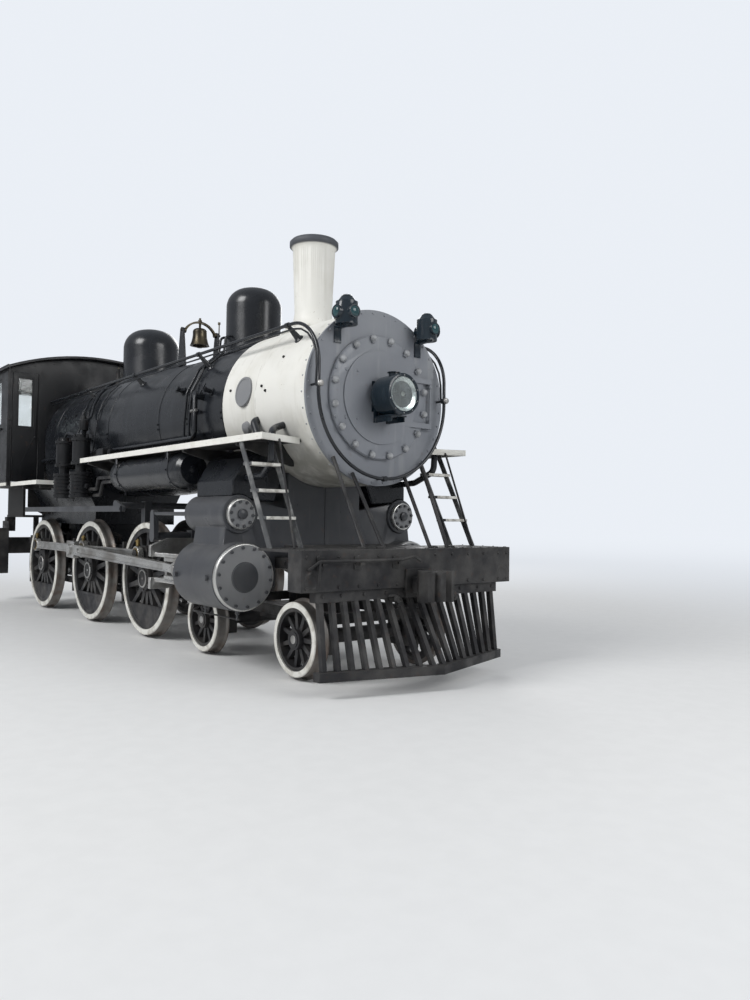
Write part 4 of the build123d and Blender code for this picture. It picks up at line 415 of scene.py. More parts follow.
GLOSS_BLACK = paint("gloss_black", (0.0105, 0.0120, 0.0150), (0.052, 0.058, 0.068), 0.25, 0.45, 0.22)
CAB_BLACK = paint("cab_black", (0.0090, 0.0095, 0.0110), (0.052, 0.053, 0.055), 0.33, 0.45, 0.25,
                  rust=0.12, gleam=0.32)
GEAR_BLACK = cast_iron("gear_black")
DARK_IRON = cast_iron("dark_iron", base=(0.011, 0.011, 0.012), rust=0.4)
SMOKEBOX_WHITE = white_paint("smokebox_white", BOILER_H - SMOKEBOX_R + 0.05, seam=SMOKEBOX_SEAM)
STACK_WHITE = white_paint("stack_white", BOILER_H + SMOKEBOX_R - 0.65, rim_height=RAIL_Z + STACK_TOP)
TRIM_WHITE = white_paint("trim_white", 0.6)
FRONT_GREY = paint("front_grey", (0.200, 0.212, 0.236), (0.36, 0.37, 0.375), 0.40, 0.4, 0.45, rust=0.15)
LADDER_GREY = ladder_paint("ladder_grey")
LAMP_BLACK = paint("lamp_black", (0.008, 0.016, 0.024), (0.05, 0.064, 0.075), 0.18, 0.3, 0.25)
CYLINDER_GREY = paint("cylinder_grey", (0.050, 0.053, 0.060), (0.15, 0.15, 0.15), 0.34, 0.5, 0.4, rust=0.15)
COVER_GREY = paint("cover_grey", (0.215, 0.220, 0.230), (0.36, 0.355, 0.34), 0.42, 0.5, 0.5, rust=0.2)
ROD_STEEL = worn_steel("rod_steel")
BRIGHT_RIM = worn_steel("bright_rim", base=(0.66, 0.66, 0.64), oil=0.25)
DECK_PLATE = tread_plate("deck_plate", (0.011, 0.011, 0.012), (0.075, 0.072, 0.068))
FLOOR_WOOD = planks("floor_wood")
SEAT_LEATHER = leather("seat_leather")
GLASS = window_glass("glass_pane")
BELL_BRONZE = brass("bell_bronze", (0.110, 0.092, 0.060), (0.030, 0.028, 0.025))
GAUGE_BRASS = brass("gauge_brass", (0.42, 0.31, 0.13), (0.13, 0.10, 0.055))
DIAL_WHITE = plain("dial_white", (0.72, 0.71, 0.66), 0.4)
LENS_GLASS = plain("lens_glass", (0.025, 0.075, 0.085), 0.06, grain=9.0)
REFLECTOR = plain("reflector", (0.80, 0.80, 0.79), 0.12, metallic=1.0)
NUT_GREY = plain("nut_grey", (0.40, 0.41, 0.42), 0.45)


# Building pieces

def link(name, data):
    """A new object in the scene with a mesh, lamp or camera."""
    piece = bpy.data.objects.new(name, data)
    bpy.context.scene.collection.objects.link(piece)
    return piece


def settle(piece, coat, body, smooth=35):
    """Gives a finished piece its coat's material, shading and body; a coat is a material and its record slot,
    and the slot is not used.
    """
    material, slot = coat
    piece.data.materials.clear()
    piece.data.materials.append(material)
    piece.data.polygons.foreach_set("material_index", [0] * len(piece.data.polygons))
    shade(piece.data, smooth)
    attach(piece, body)
    return piece


def shade(mesh, smooth):
    """Smooth shading with sharp edges above an angle."""
    mesh.polygons.foreach_set("use_smooth", [True] * len(mesh.polygons))
    mesh.set_sharp_from_angle(angle=radians(smooth))
    mesh.update()


def dressed(node, coat, bevel=0.0):
    """A welded copy of a CAD node with smooth curves and eased edges, in the node's place."""
    source = frame["nodes"][node]
    mesh = source.data.copy()
    mesh.name = f"{node}_surface"
    welded = bmesh.new()
    welded.from_mesh(mesh)
    bmesh.ops.remove_doubles(welded, verts=welded.verts, dist=0.00002)
    bmesh.ops.dissolve_limit(welded, angle_limit=radians(0.5), verts=welded.verts, edges=welded.edges)
    welded.to_mesh(mesh)
    welded.free()
    piece = link(f"{node}_surface", mesh)
    if bevel:
        ease = piece.modifiers.new("eased_edges", "BEVEL")
        ease.width = bevel
        ease.segments = 1
        ease.limit_method = "ANGLE"
        ease.angle_limit = radians(50)
        ease.use_clamp_overlap = True
    settle(piece, coat, source["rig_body"])
    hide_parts(node)


FORWARD, BACK, UP, DOWN = Vector((1, 0, 0)), Vector((-1, 0, 0)), Vector((0, 0, 1)), Vector((0, 0, -1))
RIGHT, LEFT = Vector((0, -1, 0)), Vector((0, 1, 0))


class Shape:
    """Turned, boxed and cut solids gathered into one piece."""

    def __init__(self):
        self.solid = bmesh.new()

    def turned(self, profile, origin, axis=UP, steps=28):
        """Profile of (radius, along) points spun about an axis through the origin."""
        turn = UP.rotation_difference(Vector(axis).normalized()).to_matrix()
        rings = []
        for radius, along in profile:
            count = 1 if radius < 1e-6 else steps
            angles = [2 * pi * step / count for step in range(count)]
            places = [turn @ Vector((radius * cos(angle), radius * sin(angle), along)) for angle in angles]
            rings.append([self.solid.verts.new(Vector(origin) + place) for place in places])
        for low, high in zip(rings, rings[1:]):
            self.band(low, high)
        return self

    def band(self, low, high):
        """Faces between two closed rings, either of which may be a single point."""
        count = max(len(low), len(high))
        if count == 1:
            return
        for step in range(count):
            after = (step + 1) % count
            corners = (low[step % len(low)], low[after % len(low)],
                       high[after % len(high)], high[step % len(high)])
            self.solid.faces.new(list(dict.fromkeys(corners)))

    def box(self, low, high, ease=0.0):
        """Rectangular block between two corners, with eased edges."""
        low, high = Vector(map(min, low, high)), Vector(map(max, low, high))
        size = high - low
        made = bmesh.ops.create_cube(self.solid, size=1.0)["verts"]
        for vertex in made:
            vertex.co = low + size * 0.5 + Vector(part * span for part, span in zip(vertex.co, size))
        if ease:
            edges = list({edge for vertex in made for edge in vertex.link_edges})
            bmesh.ops.bevel(self.solid, geom=edges, offset=ease, segments=1, affect="EDGES")
        return self

    def prism(self, outline, push):
        """Flat closed outline pushed along a vector."""
        near = [self.solid.verts.new(Vector(point)) for point in outline]
        far = [self.solid.verts.new(Vector(point) + Vector(push)) for point in outline]
        self.solid.faces.new(near)
        self.solid.faces.new(far)
        self.band(near, far)
        return self

    def mirrored(self):
        """The same solids again on the other side."""
        whole = self.solid.verts[:] + self.solid.edges[:] + self.solid.faces[:]
        made = bmesh.ops.duplicate(self.solid, geom=whole)
        for item in made["geom"]:
            if isinstance(item, bmesh.types.BMVert):
                item.co.y = -item.co.y
        return self

    def piece(self, name, coat, body="engine"):
        """Turns the gathered solids into a finished piece."""
        bmesh.ops.remove_doubles(self.solid, verts=self.solid.verts, dist=1e-6)
        bmesh.ops.recalc_face_normals(self.solid, faces=self.solid.faces)
        mesh = bpy.data.meshes.new(name)
        self.solid.to_mesh(mesh)
        self.solid.free()
        settle(link(name, mesh), coat, body)


def capped(*steps, crown=0.0):
    """Profile that starts and ends on the axis; the crown lifts its last point."""
    return [(0, steps[0][1]), *steps, (0, steps[-1][1] + crown)]


def drum(radius, top, low=0.0, crown=0.0):
    """Profile of a plain cylinder between two heights."""
    return capped((radius, low), (radius, top), crown=crown)


# Fasteners and pipes, grown by geometry nodes

def tree_with(name, inputs):
    """An empty geometry tree with named inputs; gives the tree, its inputs and its output."""
    tree = bpy.data.node_groups.new(name, "GeometryNodeTree")
    tree.interface.new_socket("Geometry", in_out="INPUT", socket_type="NodeSocketGeometry")
    for label, kind in inputs:
        tree.interface.new_socket(label, in_out="INPUT", socket_type=f"NodeSocket{kind}")
    tree.interface.new_socket("Geometry", in_out="OUTPUT", socket_type="NodeSocketGeometry")
    return tree, tree.nodes.new("NodeGroupInput").outputs, tree.nodes.new("NodeGroupOutput").inputs[0]


def wire(tree, *pairs):
    """Links from outputs to inputs."""
    for source, target in pairs:
        tree.links.new(source, target)


def fastener_tree(name, spaced):
    """Heads standing on points along their outward arrows, or spaced evenly along chains of edges."""
    inputs = [("Head Radius", "Float"), ("Crown Radius", "Float"), ("Head Height", "Float"), ("Sides", "Int"),
              ("Pitch", "Float"), ("Finish", "Material")]
    tree, given, result = tree_with(name, inputs)
    places = given["Geometry"]
    if spaced:
        chain = tree.nodes.new("GeometryNodeMeshToCurve")
        spacing = tree.nodes.new("GeometryNodeCurveToPoints")
        spacing.mode = "LENGTH"
        wire(tree, (places, chain.inputs["Mesh"]), (chain.outputs[0], spacing.inputs["Curve"]),
             (given["Pitch"], spacing.inputs["Length"]))
        places = spacing.outputs["Points"]
    arrow = tree.nodes.new("GeometryNodeInputNamedAttribute")
    arrow.data_type = "FLOAT_VECTOR"
    arrow.inputs["Name"].default_value = "outward"
    turn = tree.nodes.new("FunctionNodeAlignRotationToVector")
    turn.axis = "Z"
    head = tree.nodes.new("GeometryNodeMeshCone")
    stand = tree.nodes.new("GeometryNodeInstanceOnPoints")
    whole = tree.nodes.new("GeometryNodeRealizeInstances")
    coat = tree.nodes.new("GeometryNodeSetMaterial")
    wire(tree, (arrow.outputs[0], turn.inputs["Vector"]),
         (given["Head Radius"], head.inputs["Radius Bottom"]),
         (given["Crown Radius"], head.inputs["Radius Top"]), (given["Head Height"], head.inputs["Depth"]),
         (given["Sides"], head.inputs["Vertices"]), (places, stand.inputs["Points"]),
         (head.outputs["Mesh"], stand.inputs["Instance"]), (turn.outputs[0], stand.inputs["Rotation"]),
         (stand.outputs[0], whole.inputs[0]), (whole.outputs[0], coat.inputs["Geometry"]),
         (given["Finish"], coat.inputs["Material"]), (coat.outputs[0], result))
    return tree


def pipe_tree(name):
    """Round pipe along chains of edges, with eased bends."""
    inputs = [("Pipe Radius", "Float"), ("Bend Radius", "Float"), ("Sides", "Int"), ("Finish", "Material")]
    tree, given, result = tree_with(name, inputs)
    chain = tree.nodes.new("GeometryNodeMeshToCurve")
    bends = tree.nodes.new("GeometryNodeFilletCurve")
    bends.mode = "POLY"
    bends.inputs["Count"].default_value = 5
    bends.inputs["Limit Radius"].default_value = True
    section = tree.nodes.new("GeometryNodeCurvePrimitiveCircle")
    skin = tree.nodes.new("GeometryNodeCurveToMesh")
    skin.inputs["Fill Caps"].default_value = True
    whole = tree.nodes.new("GeometryNodeRealizeInstances")
    coat = tree.nodes.new("GeometryNodeSetMaterial")
    wire(tree, (given["Geometry"], chain.inputs["Mesh"]), (chain.outputs[0], bends.inputs["Curve"]),
         (given["Bend Radius"], bends.inputs["Radius"]), (given["Sides"], section.inputs["Resolution"]),
         (given["Pipe Radius"], section.inputs["Radius"]), (bends.outputs[0], skin.inputs["Curve"]),
         (section.outputs[0], skin.inputs["Profile Curve"]), (skin.outputs[0], whole.inputs[0]),
         (whole.outputs[0], coat.inputs["Geometry"]), (given["Finish"], coat.inputs["Material"]),
         (coat.outputs[0], result))
    return tree


STUDS = fastener_tree("studs_on_points", False)
RIVET_ROWS = fastener_tree("rivets_along_chains", True)
PIPE_RUNS = pipe_tree("pipe_along_chains")


def chains_mesh(name, chains):
    """Chains of (place, outward) pairs as a mesh of joined points that carry their arrows."""
    places, edges, arrows = [], [], []
    for chain in chains:
        edges += [(len(places) + step, len(places) + step + 1) for step in range(len(chain) - 1)]
        places += [place for place, outward in chain]
        arrows += [part for place, outward in chain for part in outward]
    mesh = bpy.data.meshes.new(name)
    mesh.from_pydata(places, edges, [])
    mesh.attributes.new("outward", "FLOAT_VECTOR", "POINT").data.foreach_set("vector", arrows)
    return mesh


def grown(name, chains, tree, values, coat, body, smooth):
    """Runs a geometry tree on chains of points and keeps the result as a plain piece."""
    start = link(f"{name}_start", chains_mesh(f"{name}_start", chains))
    growth = start.modifiers.new("growth", "NODES")
    growth.node_group = tree
    values = dict(values, Finish=coat[0])
    for socket in tree.interface.items_tree:
        if socket.in_out == "INPUT" and socket.name in values:
            growth[socket.identifier] = values[socket.name]
    mesh = bpy.data.meshes.new_from_object(start.evaluated_get(bpy.context.evaluated_depsgraph_get()))
    mesh.name = name
    start.modifiers.clear()
    bpy.data.objects.remove(start)
    settle(link(name, mesh), coat, body, smooth)


def studs(name, places, radius, height, coat, sides=6, crown=0.9, body="engine"):
    """Nuts or bolt heads on single places."""
    values = {"Head Radius": radius, "Crown Radius": radius * crown, "Head Height": height, "Sides": sides}
    grown(name, [[place] for place in places], STUDS, values, coat, body, 30)


def rivets(name, chains, pitch, radius, coat):
    """Round heads evenly along chains."""
    values = {"Head Radius": radius, "Crown Radius": radius * 0.55, "Head Height": radius * 0.6, "Sides": 8,
              "Pitch": pitch}
    grown(name, chains, RIVET_ROWS, values, coat, "engine", 60)


def pipe(name, routes, radius, bend, coat, sides=10):
    """Pipes of one bore along routes of points."""
    values = {"Pipe Radius": radius, "Bend Radius": bend, "Sides": sides}
    chains = [[(point, UP) for point in route] for route in routes]
    grown(name, chains, PIPE_RUNS, values, coat, "engine", 50)


# Node surfaces that rays can meet, each made once
SURFACES = {}


def landed(node, place, outward):
    """The point of a node's surface met on the way in along the outward arrow."""
    if node not in SURFACES:
        mesh = frame["nodes"][node].data
        faces = [tuple(polygon.vertices) for polygon in mesh.polygons]
        SURFACES[node] = BVHTree.FromPolygons([vertex.co for vertex in mesh.vertices], faces)
    met = SURFACES[node].ray_cast(place + outward * 0.4, -outward, 0.8)[0]
    return (met if met is not None else place) - outward * 0.001, outward


def landed_all(node, places):
    """Places with their arrows, each brought down to a node's surface."""
    return [landed(node, place, outward) for place, outward in places]


def flipped(point):
    """The same point or arrow on the other side."""
    return Vector((point.x, -point.y, point.z))


def both_sides(places):
    """Places with their arrows on the right side, and the same on the left."""
    return places + [(flipped(place), flipped(outward)) for place, outward in places]


def both_routes(routes):
    """Routes on the right side, and the same on the left."""
    return routes + [[flipped(point) for point in route] for route in routes]


def circle_of(centre, outward, radius, count, turn=0.0):
    """Places evenly round a circle that faces outward."""
    across = UP if abs(outward.z) < 0.5 else FORWARD
    second = outward.cross(across).normalized()
    across = second.cross(outward).normalized()
    angles = [turn + 2 * pi * step / count for step in range(count)]
    return [(centre + across * radius * cos(angle) + second * radius * sin(angle), outward)
            for angle in angles]


def shell_radius(behind):
    """Outside radius of smokebox and jacket."""
    if behind < SMOKEBOX_REAR:
        return SMOKEBOX_R
    share = min(max((behind - TAPER[0]) / (TAPER[1] - TAPER[0]), 0), 1)
    return COURSE_R + share * (WAISTED_R - COURSE_R)


def radial(angle):
    """Outward arrow from the boiler's axis; the angle runs up from the right-hand side."""
    return Vector((0, -cos(radians(angle)), sin(radians(angle))))


def level(angle):
    """Flat arrow at an angle from straight ahead."""
    return Vector((cos(angle), sin(angle), 0))


def on_shell(behind, angle, lift=0.0):
    """Point on the shell's outside at an angle, or above it by the lift."""
    return at(behind, 0, BOILER_H) + radial(angle) * (shell_radius(behind) + lift)


def shell_places(spots, lift=0.0):
    """Places on both sides of the shell from stations and angles."""
    return both_sides([(on_shell(behind, angle, lift), radial(angle)) for behind, angle in spots])


def hoop(behind, start, end, steps=60):
    """A chain round the shell between two angles."""
    angles = [start + (end - start) * step / steps for step in range(steps + 1)]
    return [(on_shell(behind, angle), radial(angle)) for angle in angles]


# Each coat is a finish with the record slot that it stands for
BLACK = (GLOSS_BLACK, "black_paint")
CAB_COAT = (CAB_BLACK, "black_paint")
GEAR_COAT = (GEAR_BLACK, "black_paint")
GEAR_CASTING = (GEAR_BLACK, "cast_iron")
IRON_COAT = (DARK_IRON, "black_paint")
IRON_CASTING = (DARK_IRON, "cast_iron")
STEEL = (ROD_STEEL, "rod_steel")
CYLINDER_COAT = (CYLINDER_GREY, "black_paint")
FRONT_COAT = (FRONT_GREY, "graphite_grey")
PLATE_COAT = (COVER_GREY, "graphite_grey")
STACK_COAT = (STACK_WHITE, "smokebox_white")
WHITE_EDGE = (TRIM_WHITE, "trim_white")
LAMP_COAT = (LAMP_BLACK, "lamp_black")
BELL_COAT = (BELL_BRONZE, "bell_metal")
BRASS_COAT = (GAUGE_BRASS, "bell_metal")
GLASS_COAT = (GLASS, "window_glass")

# Surfaces of the solid pieces: coat, then its nodes
NODE_COATS = (
    (BLACK, "boiler firebox sand_dome steam_dome steam_pipes air_reservoirs handrails pipes bell_stand"),
    (CAB_COAT, "air_pumps cab_front cab_rear cab_side_left cab_side_right cab_roof"),
    (CAB_COAT, "cab_door_left cab_door_right"),
    (GEAR_COAT, "cab_steps frames pilot_beam pilot"),
    (GEAR_CASTING, "cross_ties"),
    (IRON_COAT, "backhead"),
    (IRON_CASTING, "rear_casting spring_rigging brakes truck_frame coupler"),
    (STEEL, "guides crossheads main_rods side_rod_left side_rod_right"),
    (CYLINDER_COAT, "cylinders"),
    ((CYLINDER_GREY, "cast_iron"), "valve_gear"),
    ((COVER_GREY, "rod_steel"), "cylinder_covers"),
    (FRONT_COAT, "smokebox_front smokebox_door"),
    ((SMOKEBOX_WHITE, "smokebox_white"), "smokebox"),
    (STACK_COAT, "stack"),
    (WHITE_EDGE, "board_edges"),
    ((DECK_PLATE, "black_paint"), "running_boards aprons"),
    ((LADDER_GREY, "ladder_grey"), "ladders"),
    (LAMP_COAT, "class_lamps headlight"),
    (BELL_COAT, "bell"),
    ((DARK_IRON, "bell_metal"), "safety_valves"),
    ((FLOOR_WOOD, "cab_wood"), "cab_floor"),
    (GLASS_COAT, "cab_glass"),
    ((ROD_STEEL, "black_paint"), "reverse_lever"),
)
EDGE_EASE = 0.0025
EASED = {
    "steam_pipes": 0.012, "stack": 0.0, "boiler": 0.0015, "cylinders": 0.006, "coupler": 0.006,
    "pilot": 0.003, "cab_roof": 0.004,
}
for coat, nodes in NODE_COATS:
    for node in nodes.split():
        dressed(node, coat, EASED.get(node, EDGE_EASE))
for place, axle in DRIVER_AXLES.items():
    rim = wheel_paint(f"driver_paint_{place}", axle, DRIVER_R - 0.075, DRIVER_R)
    dressed(f"driver_tyres_{place}", (rim, "tyre_steel"))
    dressed(f"driver_centres_{place}", (rim, "black_paint"), 0.004)
for place, axle in TRUCK_AXLES.items():
    rim = wheel_paint(f"truck_paint_{place}", axle, TRUCK_R - 0.060, TRUCK_R)
    dressed(f"truck_wheels_{place}", (rim, "black_paint"), 0.003)


# Smokebox, stack and boiler

def smokebox_details():
    """Rivet row, plugs, blank round plates, rail post feet and the bolts of front and door."""
    row, start, end = 0.045, -62, 242
    rivets("smokebox_rivets", [hoop(row, start, end)], 0.150, 0.011, (NUT_GREY, "smokebox_white"))
    plugs = ((0.488, 26.2), (1.385, 9.6), (0.757, 7.9), (0.680, 4.3), (0.846, -12.8))
    studs("smokebox_plugs", shell_places(plugs), 0.015, 0.014, IRON_COAT)
    plates, plate_behind, plate_angle = Shape(), 1.10, 6.6
    outline = capped((0.128, 0.010), (0.134, 0.017), (0.152, 0.017), (0.157, 0.010), (0.157, -0.020))
    for side in (1, -1):
        arrow = radial(plate_angle)
        arrow.y *= side
        plates.turned(outline, at(plate_behind, 0, BOILER_H) + arrow * SMOKEBOX_R, arrow, 40)
    plates.piece("blank_round_plates", PLATE_COAT)
    feet = Shape()
    lean = radial(RAIL_ANGLE)
    for post in RAIL_POSTS:
        foot = shell_radius(post) - 0.003
        outline = capped((0.052, 0), (0.050, 0.012), (0.034, 0.026), (0.020, RAIL_REACH - foot))
        feet.turned(outline, at(post, 0, BOILER_H) + lean * foot, lean, 16)
    feet.mirrored().piece("rail_post_feet", BLACK)
    ring = landed_all("smokebox_front", circle_of(at(-FRONT_T, 0, BOILER_H), FORWARD, 0.836, 36, 0.09))
    studs("smokebox_ring_bolts", ring, 0.014, 0.010, FRONT_COAT, 8, 0.6)
    nuts, nut_foot, dogs = Shape(), 0.020, 16
    outline = capped((0.034, -0.004), (0.034, 0.006), (0.026, 0.020), (0.016, 0.028), crown=0.003)
    for place, arrow in circle_of(at(-DOOR_FACE, 0, BOILER_H), FORWARD, 0.579, dogs, pi / dogs):
        nuts.turned(outline, place + arrow * nut_foot, arrow, 12)
    nuts.piece("door_clamp_nuts", (NUT_GREY, "graphite_grey"), "smokebox_door")
    straps = [(at(-DOOR_FACE, out, BOILER_H + height), FORWARD)
              for out in (0.30, 0.43, 0.55) for height in (-STRAP_H, STRAP_H)]
    places = landed_all("smokebox_door", straps)
    studs("door_strap_bolts", places, 0.018, 0.012, FRONT_COAT, 8, 0.6, "smokebox_door")


def rail_details():
    """Second thin pipe below the handrail and the bright bosses of its front knobs."""
    out, height, ahead = 0.772, 3.312, -0.094
    route = [at(7.436, out, height), at(ahead, out, height), at(ahead, 0.800, 2.730)]
    pipe("rail_pipes", both_routes([route]), 0.010, 0.42, BLACK, 8)
    bosses = Shape()
    outline = capped((0.030, 0), (0.033, 0.012), (0.026, 0.026), crown=0.006)
    for angle in (3, 177):
        bosses.turned(outline, at(-0.160, 0, BOILER_H) + radial(angle) * 0.800, FORWARD, 16)
    bosses.piece("rail_knob_bosses", STEEL)


def class_lamp_details():
    """Lenses on three faces of each class lamp, their rims and the caps on top."""
    lenses, rims, caps = Shape(), Shape(), Shape()
    middle = at(-0.173, 0.513, 3.413)
    face, top = 0.124, 0.150
    lens = [(0.052, 0), (0.046, 0.008), (0.028, 0.016), (0, 0.019)]
    rim = [(0.050, -0.002), (0.050, 0.006), (0.061, 0.006), (0.063, 0.002), (0.063, -0.010), (0.050, -0.010)]
    for facing in (FORWARD, RIGHT, BACK):
        lenses.turned(lens, middle + facing * face, facing, 20)
        rims.turned(rim, middle + facing * face, facing, 24)
    cap = capped((0.050, 0), (0.054, 0.008), (0.040, 0.020), (0.022, 0.026), crown=0.002)
    caps.turned(cap, middle + UP * top, UP, 20)
    lenses.mirrored().piece("class_lamp_lenses", (LENS_GLASS, "lamp_black"))
    rims.mirrored().piece("class_lamp_rims", LAMP_COAT)
    caps.mirrored().piece("class_lamp_caps", LAMP_COAT)


def headlight_details():
    """Reflector, bulb, glass, rim, vent cap and rim screws of the headlight."""
    body = "smokebox_door"
    centre = Vector((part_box("headlight")[1].x, 0, RAIL_Z + BOILER_H))
    bowl = [(0.172, -0.006), (0.160, -0.012), (0.118, -0.028), (0.060, -0.036), (0.020, -0.038), (0, -0.038)]
    Shape().turned(bowl, centre, FORWARD, 40).piece("headlight_reflector", (REFLECTOR, "lamp_black"), body)
    bulb = [(0.012, -0.038), (0.016, -0.026), (0.022, -0.016), (0.018, -0.008), (0, -0.004)]
    Shape().turned(bulb, centre, FORWARD, 16).piece("headlight_bulb", (DIAL_WHITE, "lamp_black"), body)
    Shape().turned(drum(0.168, 0.002, -0.002), centre, FORWARD, 40).piece("headlight_glass", GLASS_COAT, body)
    rim = [(0.166, 0.002), (0.166, 0.008), (0.190, 0.008), (0.199, 0.002), (0.199, -0.020), (0.194, -0.020),
           (0.194, -0.002), (0.166, 0.002)]
    vent = capped((0.050, 0.190), (0.050, 0.214), (0.064, 0.218), (0.064, 0.226), crown=0.010)
    vent_back, screw_circle = 0.150, 0.180
    trim = Shape().turned(rim, centre, FORWARD, 40)
    trim.turned(vent, centre + BACK * vent_back, UP, 24).piece("headlight_trim", LAMP_COAT, body)
    screws = circle_of(centre + FORWARD * 0.008, FORWARD, screw_circle, 10)
    studs("headlight_screws", screws, 0.006, 0.003, STEEL, 8, 0.6, body)


def stack_details():
    """Bolts that hold the stack's base down on the smokebox."""
    ring = landed_all("stack", circle_of(at(STACK_S, 0, 3.60), UP, 0.300, 12, 0.26))
    places = [(met, Vector((0, met.y, met.z - RAIL_Z - BOILER_H)).normalized()) for met, _ in ring]
    studs("stack_base_bolts", places, 0.019, 0.018, STACK_COAT)


def boiler_fittings():
    """Cock with its cross handle, clamp and pipe union on the first courses."""
    fittings = Shape()
    clamp = on_shell(2.62, 20, 0.05)
    fittings.box(clamp + Vector((-0.13, -0.012, -0.016)), clamp + Vector((0.13, 0.016, 0.016)), 0.004)
    cock = capped((0.045, -0.01), (0.045, 0.014), (0.026, 0.018), (0.026, 0.075), (0.034, 0.080),
                  (0.034, 0.100), crown=0.004)
    handle_behind, handle_angle = 1.88, 13.5
    for behind, angle in ((handle_behind, handle_angle), (2.626, 20)):
        fittings.turned(cock, on_shell(behind, angle), radial(angle), 16)
    outward = radial(handle_angle)
    hub = on_shell(handle_behind, handle_angle, 0.112)
    for turn in (35, 125):
        reach = Vector((cos(radians(turn)), 0, sin(radians(turn))))
        side = reach.cross(outward).normalized() * 0.008
        reach *= 0.085
        fittings.prism([hub - reach - side, hub + reach - side, hub + reach + side, hub - reach + side],
                       outward * 0.012)
    union = on_shell(2.186, 0)
    fittings.turned(capped((0.036, -0.01), (0.036, 0.020), (0.024, 0.026), (0.024, 0.060)), union, RIGHT, 14)
    fittings.mirrored().piece("boiler_fittings", BLACK)
    end = union + RIGHT * 0.085
    elbow = [union + RIGHT * 0.050, end, end + FORWARD * 0.15]
    pipe("union_elbows", both_routes([elbow]), 0.016, 0.03, STEEL)


def boiler_details():
    """Washout plugs, band buckle bolts, dome flange bolts and the trim of valves and whistle."""
    plugs = [(behind, angle) for behind in (6.15, 6.62, 7.09) for angle in (22, 58)]
    studs("washout_plugs", shell_places(plugs), 0.030, 0.022, BLACK)
    bands, buckle = (1.600, 2.408, 3.193, 4.700, 5.900, 6.900), 0.027
    buckles = [(band + buckle, angle) for band in bands for angle in (-8, -4)]
    studs("band_buckle_bolts", shell_places(buckles, 0.004), 0.013, 0.014, BLACK)
    bolts, flange, lift = Shape(), 0.042, 0.020
    domes = ((SAND_DOME_S, SAND_DOME_R, COURSE_R), (STEAM_DOME_S, STEAM_DOME_R, WAISTED_R))
    for behind, radius, seat in domes:
        for place, _ in circle_of(at(behind, 0, BOILER_H), UP, radius + flange, 16, 0.2):
            rise = sqrt(seat ** 2 - place.y ** 2)
            slope = Vector((0, place.y, rise)).normalized()
            foot = place + UP * rise + slope * lift
            bolts.turned(drum(0.012, 0.006, crown=0.002), foot, slope, 8)
    bolts.piece("dome_flange_bolts", BLACK)
    trim, tall, top = Shape(), 0.250, BOILER_H + WAISTED_R
    spindle = capped((0.020, tall - 0.004), (0.020, tall + 0.028), (0.012, tall + 0.036), crown=0.002)
    for spacing in (0.760, 0.990):
        foot = at(STEAM_DOME_S + spacing, 0, top)
        trim.turned([(0.062, 0.050), (0.072, 0.052), (0.072, 0.072), (0.062, 0.074)], foot, UP, 24)
        trim.turned(spindle, foot, UP, 12)
    whistle = at(STEAM_DOME_S + 1.280, 0, top)
    trim.turned([(0.038, 0.115), (0.047, 0.118), (0.047, 0.132), (0.038, 0.136)], whistle, UP, 20)
    trim.turned(drum(0.012, 0.350, 0.326, crown=0.006), whistle, UP, 12)
    trim.piece("valve_trim", BELL_COAT)


def pump_details():
    """Studs and valve caps of the two air pumps, and their governor."""
    places, caps = [], Shape()
    upright = capped((0.022, 0), (0.022, 0.030), (0.014, 0.038), (0.014, 0.060), crown=0.002)
    sideways = capped((0.036, 0), (0.036, 0.040), (0.024, 0.052), crown=0.002)
    for behind in PUMPS:
        for share, arrow in ((0.04, UP), (0.40, UP), (0.56, UP), (0.94, UP), (0.36, DOWN), (0.90, DOWN)):
            reach = 0.142 if share < 0.5 else 0.125
            places += circle_of(at(behind, PUMP_OUT, PUMP_LOW + PUMP_TALL * share), arrow, reach, 10, 0.3)
        for turn in (0.6, 2.2, 3.9):
            caps.turned(upright, at(behind, PUMP_OUT, 2.567) + level(turn) * 0.095, UP, 10)
        for turn in (0.2, 3.3):
            caps.turned(sideways, at(behind, PUMP_OUT, 1.90) + level(turn) * 0.130, level(turn), 10)
    studs("pump_studs", places, 0.010, 0.012, CAB_COAT)
    caps.piece("pump_valve_caps", CAB_COAT)
    governor = capped((0.030, -0.030), (0.036, 0.030), (0.060, 0.050), (0.066, 0.120), (0.060, 0.190),
                      (0.036, 0.205), (0.030, 0.250), (0.014, 0.258), (0.014, 0.290), crown=0.002)
    body = Shape().turned(governor, at(GOVERNOR_S, GOVERNOR_OUT, 2.660), UP, 24)
    body.piece("pump_governor", CAB_COAT)


def down_shell(top, low, lift, angles):
    """Route down the boiler's side from one station to another, by way of the angles."""
    shares = [step / (len(angles) - 1) for step in range(len(angles))]
    return [on_shell(top + (low - top) * share, angle, lift) for share, angle in zip(shares, angles)]


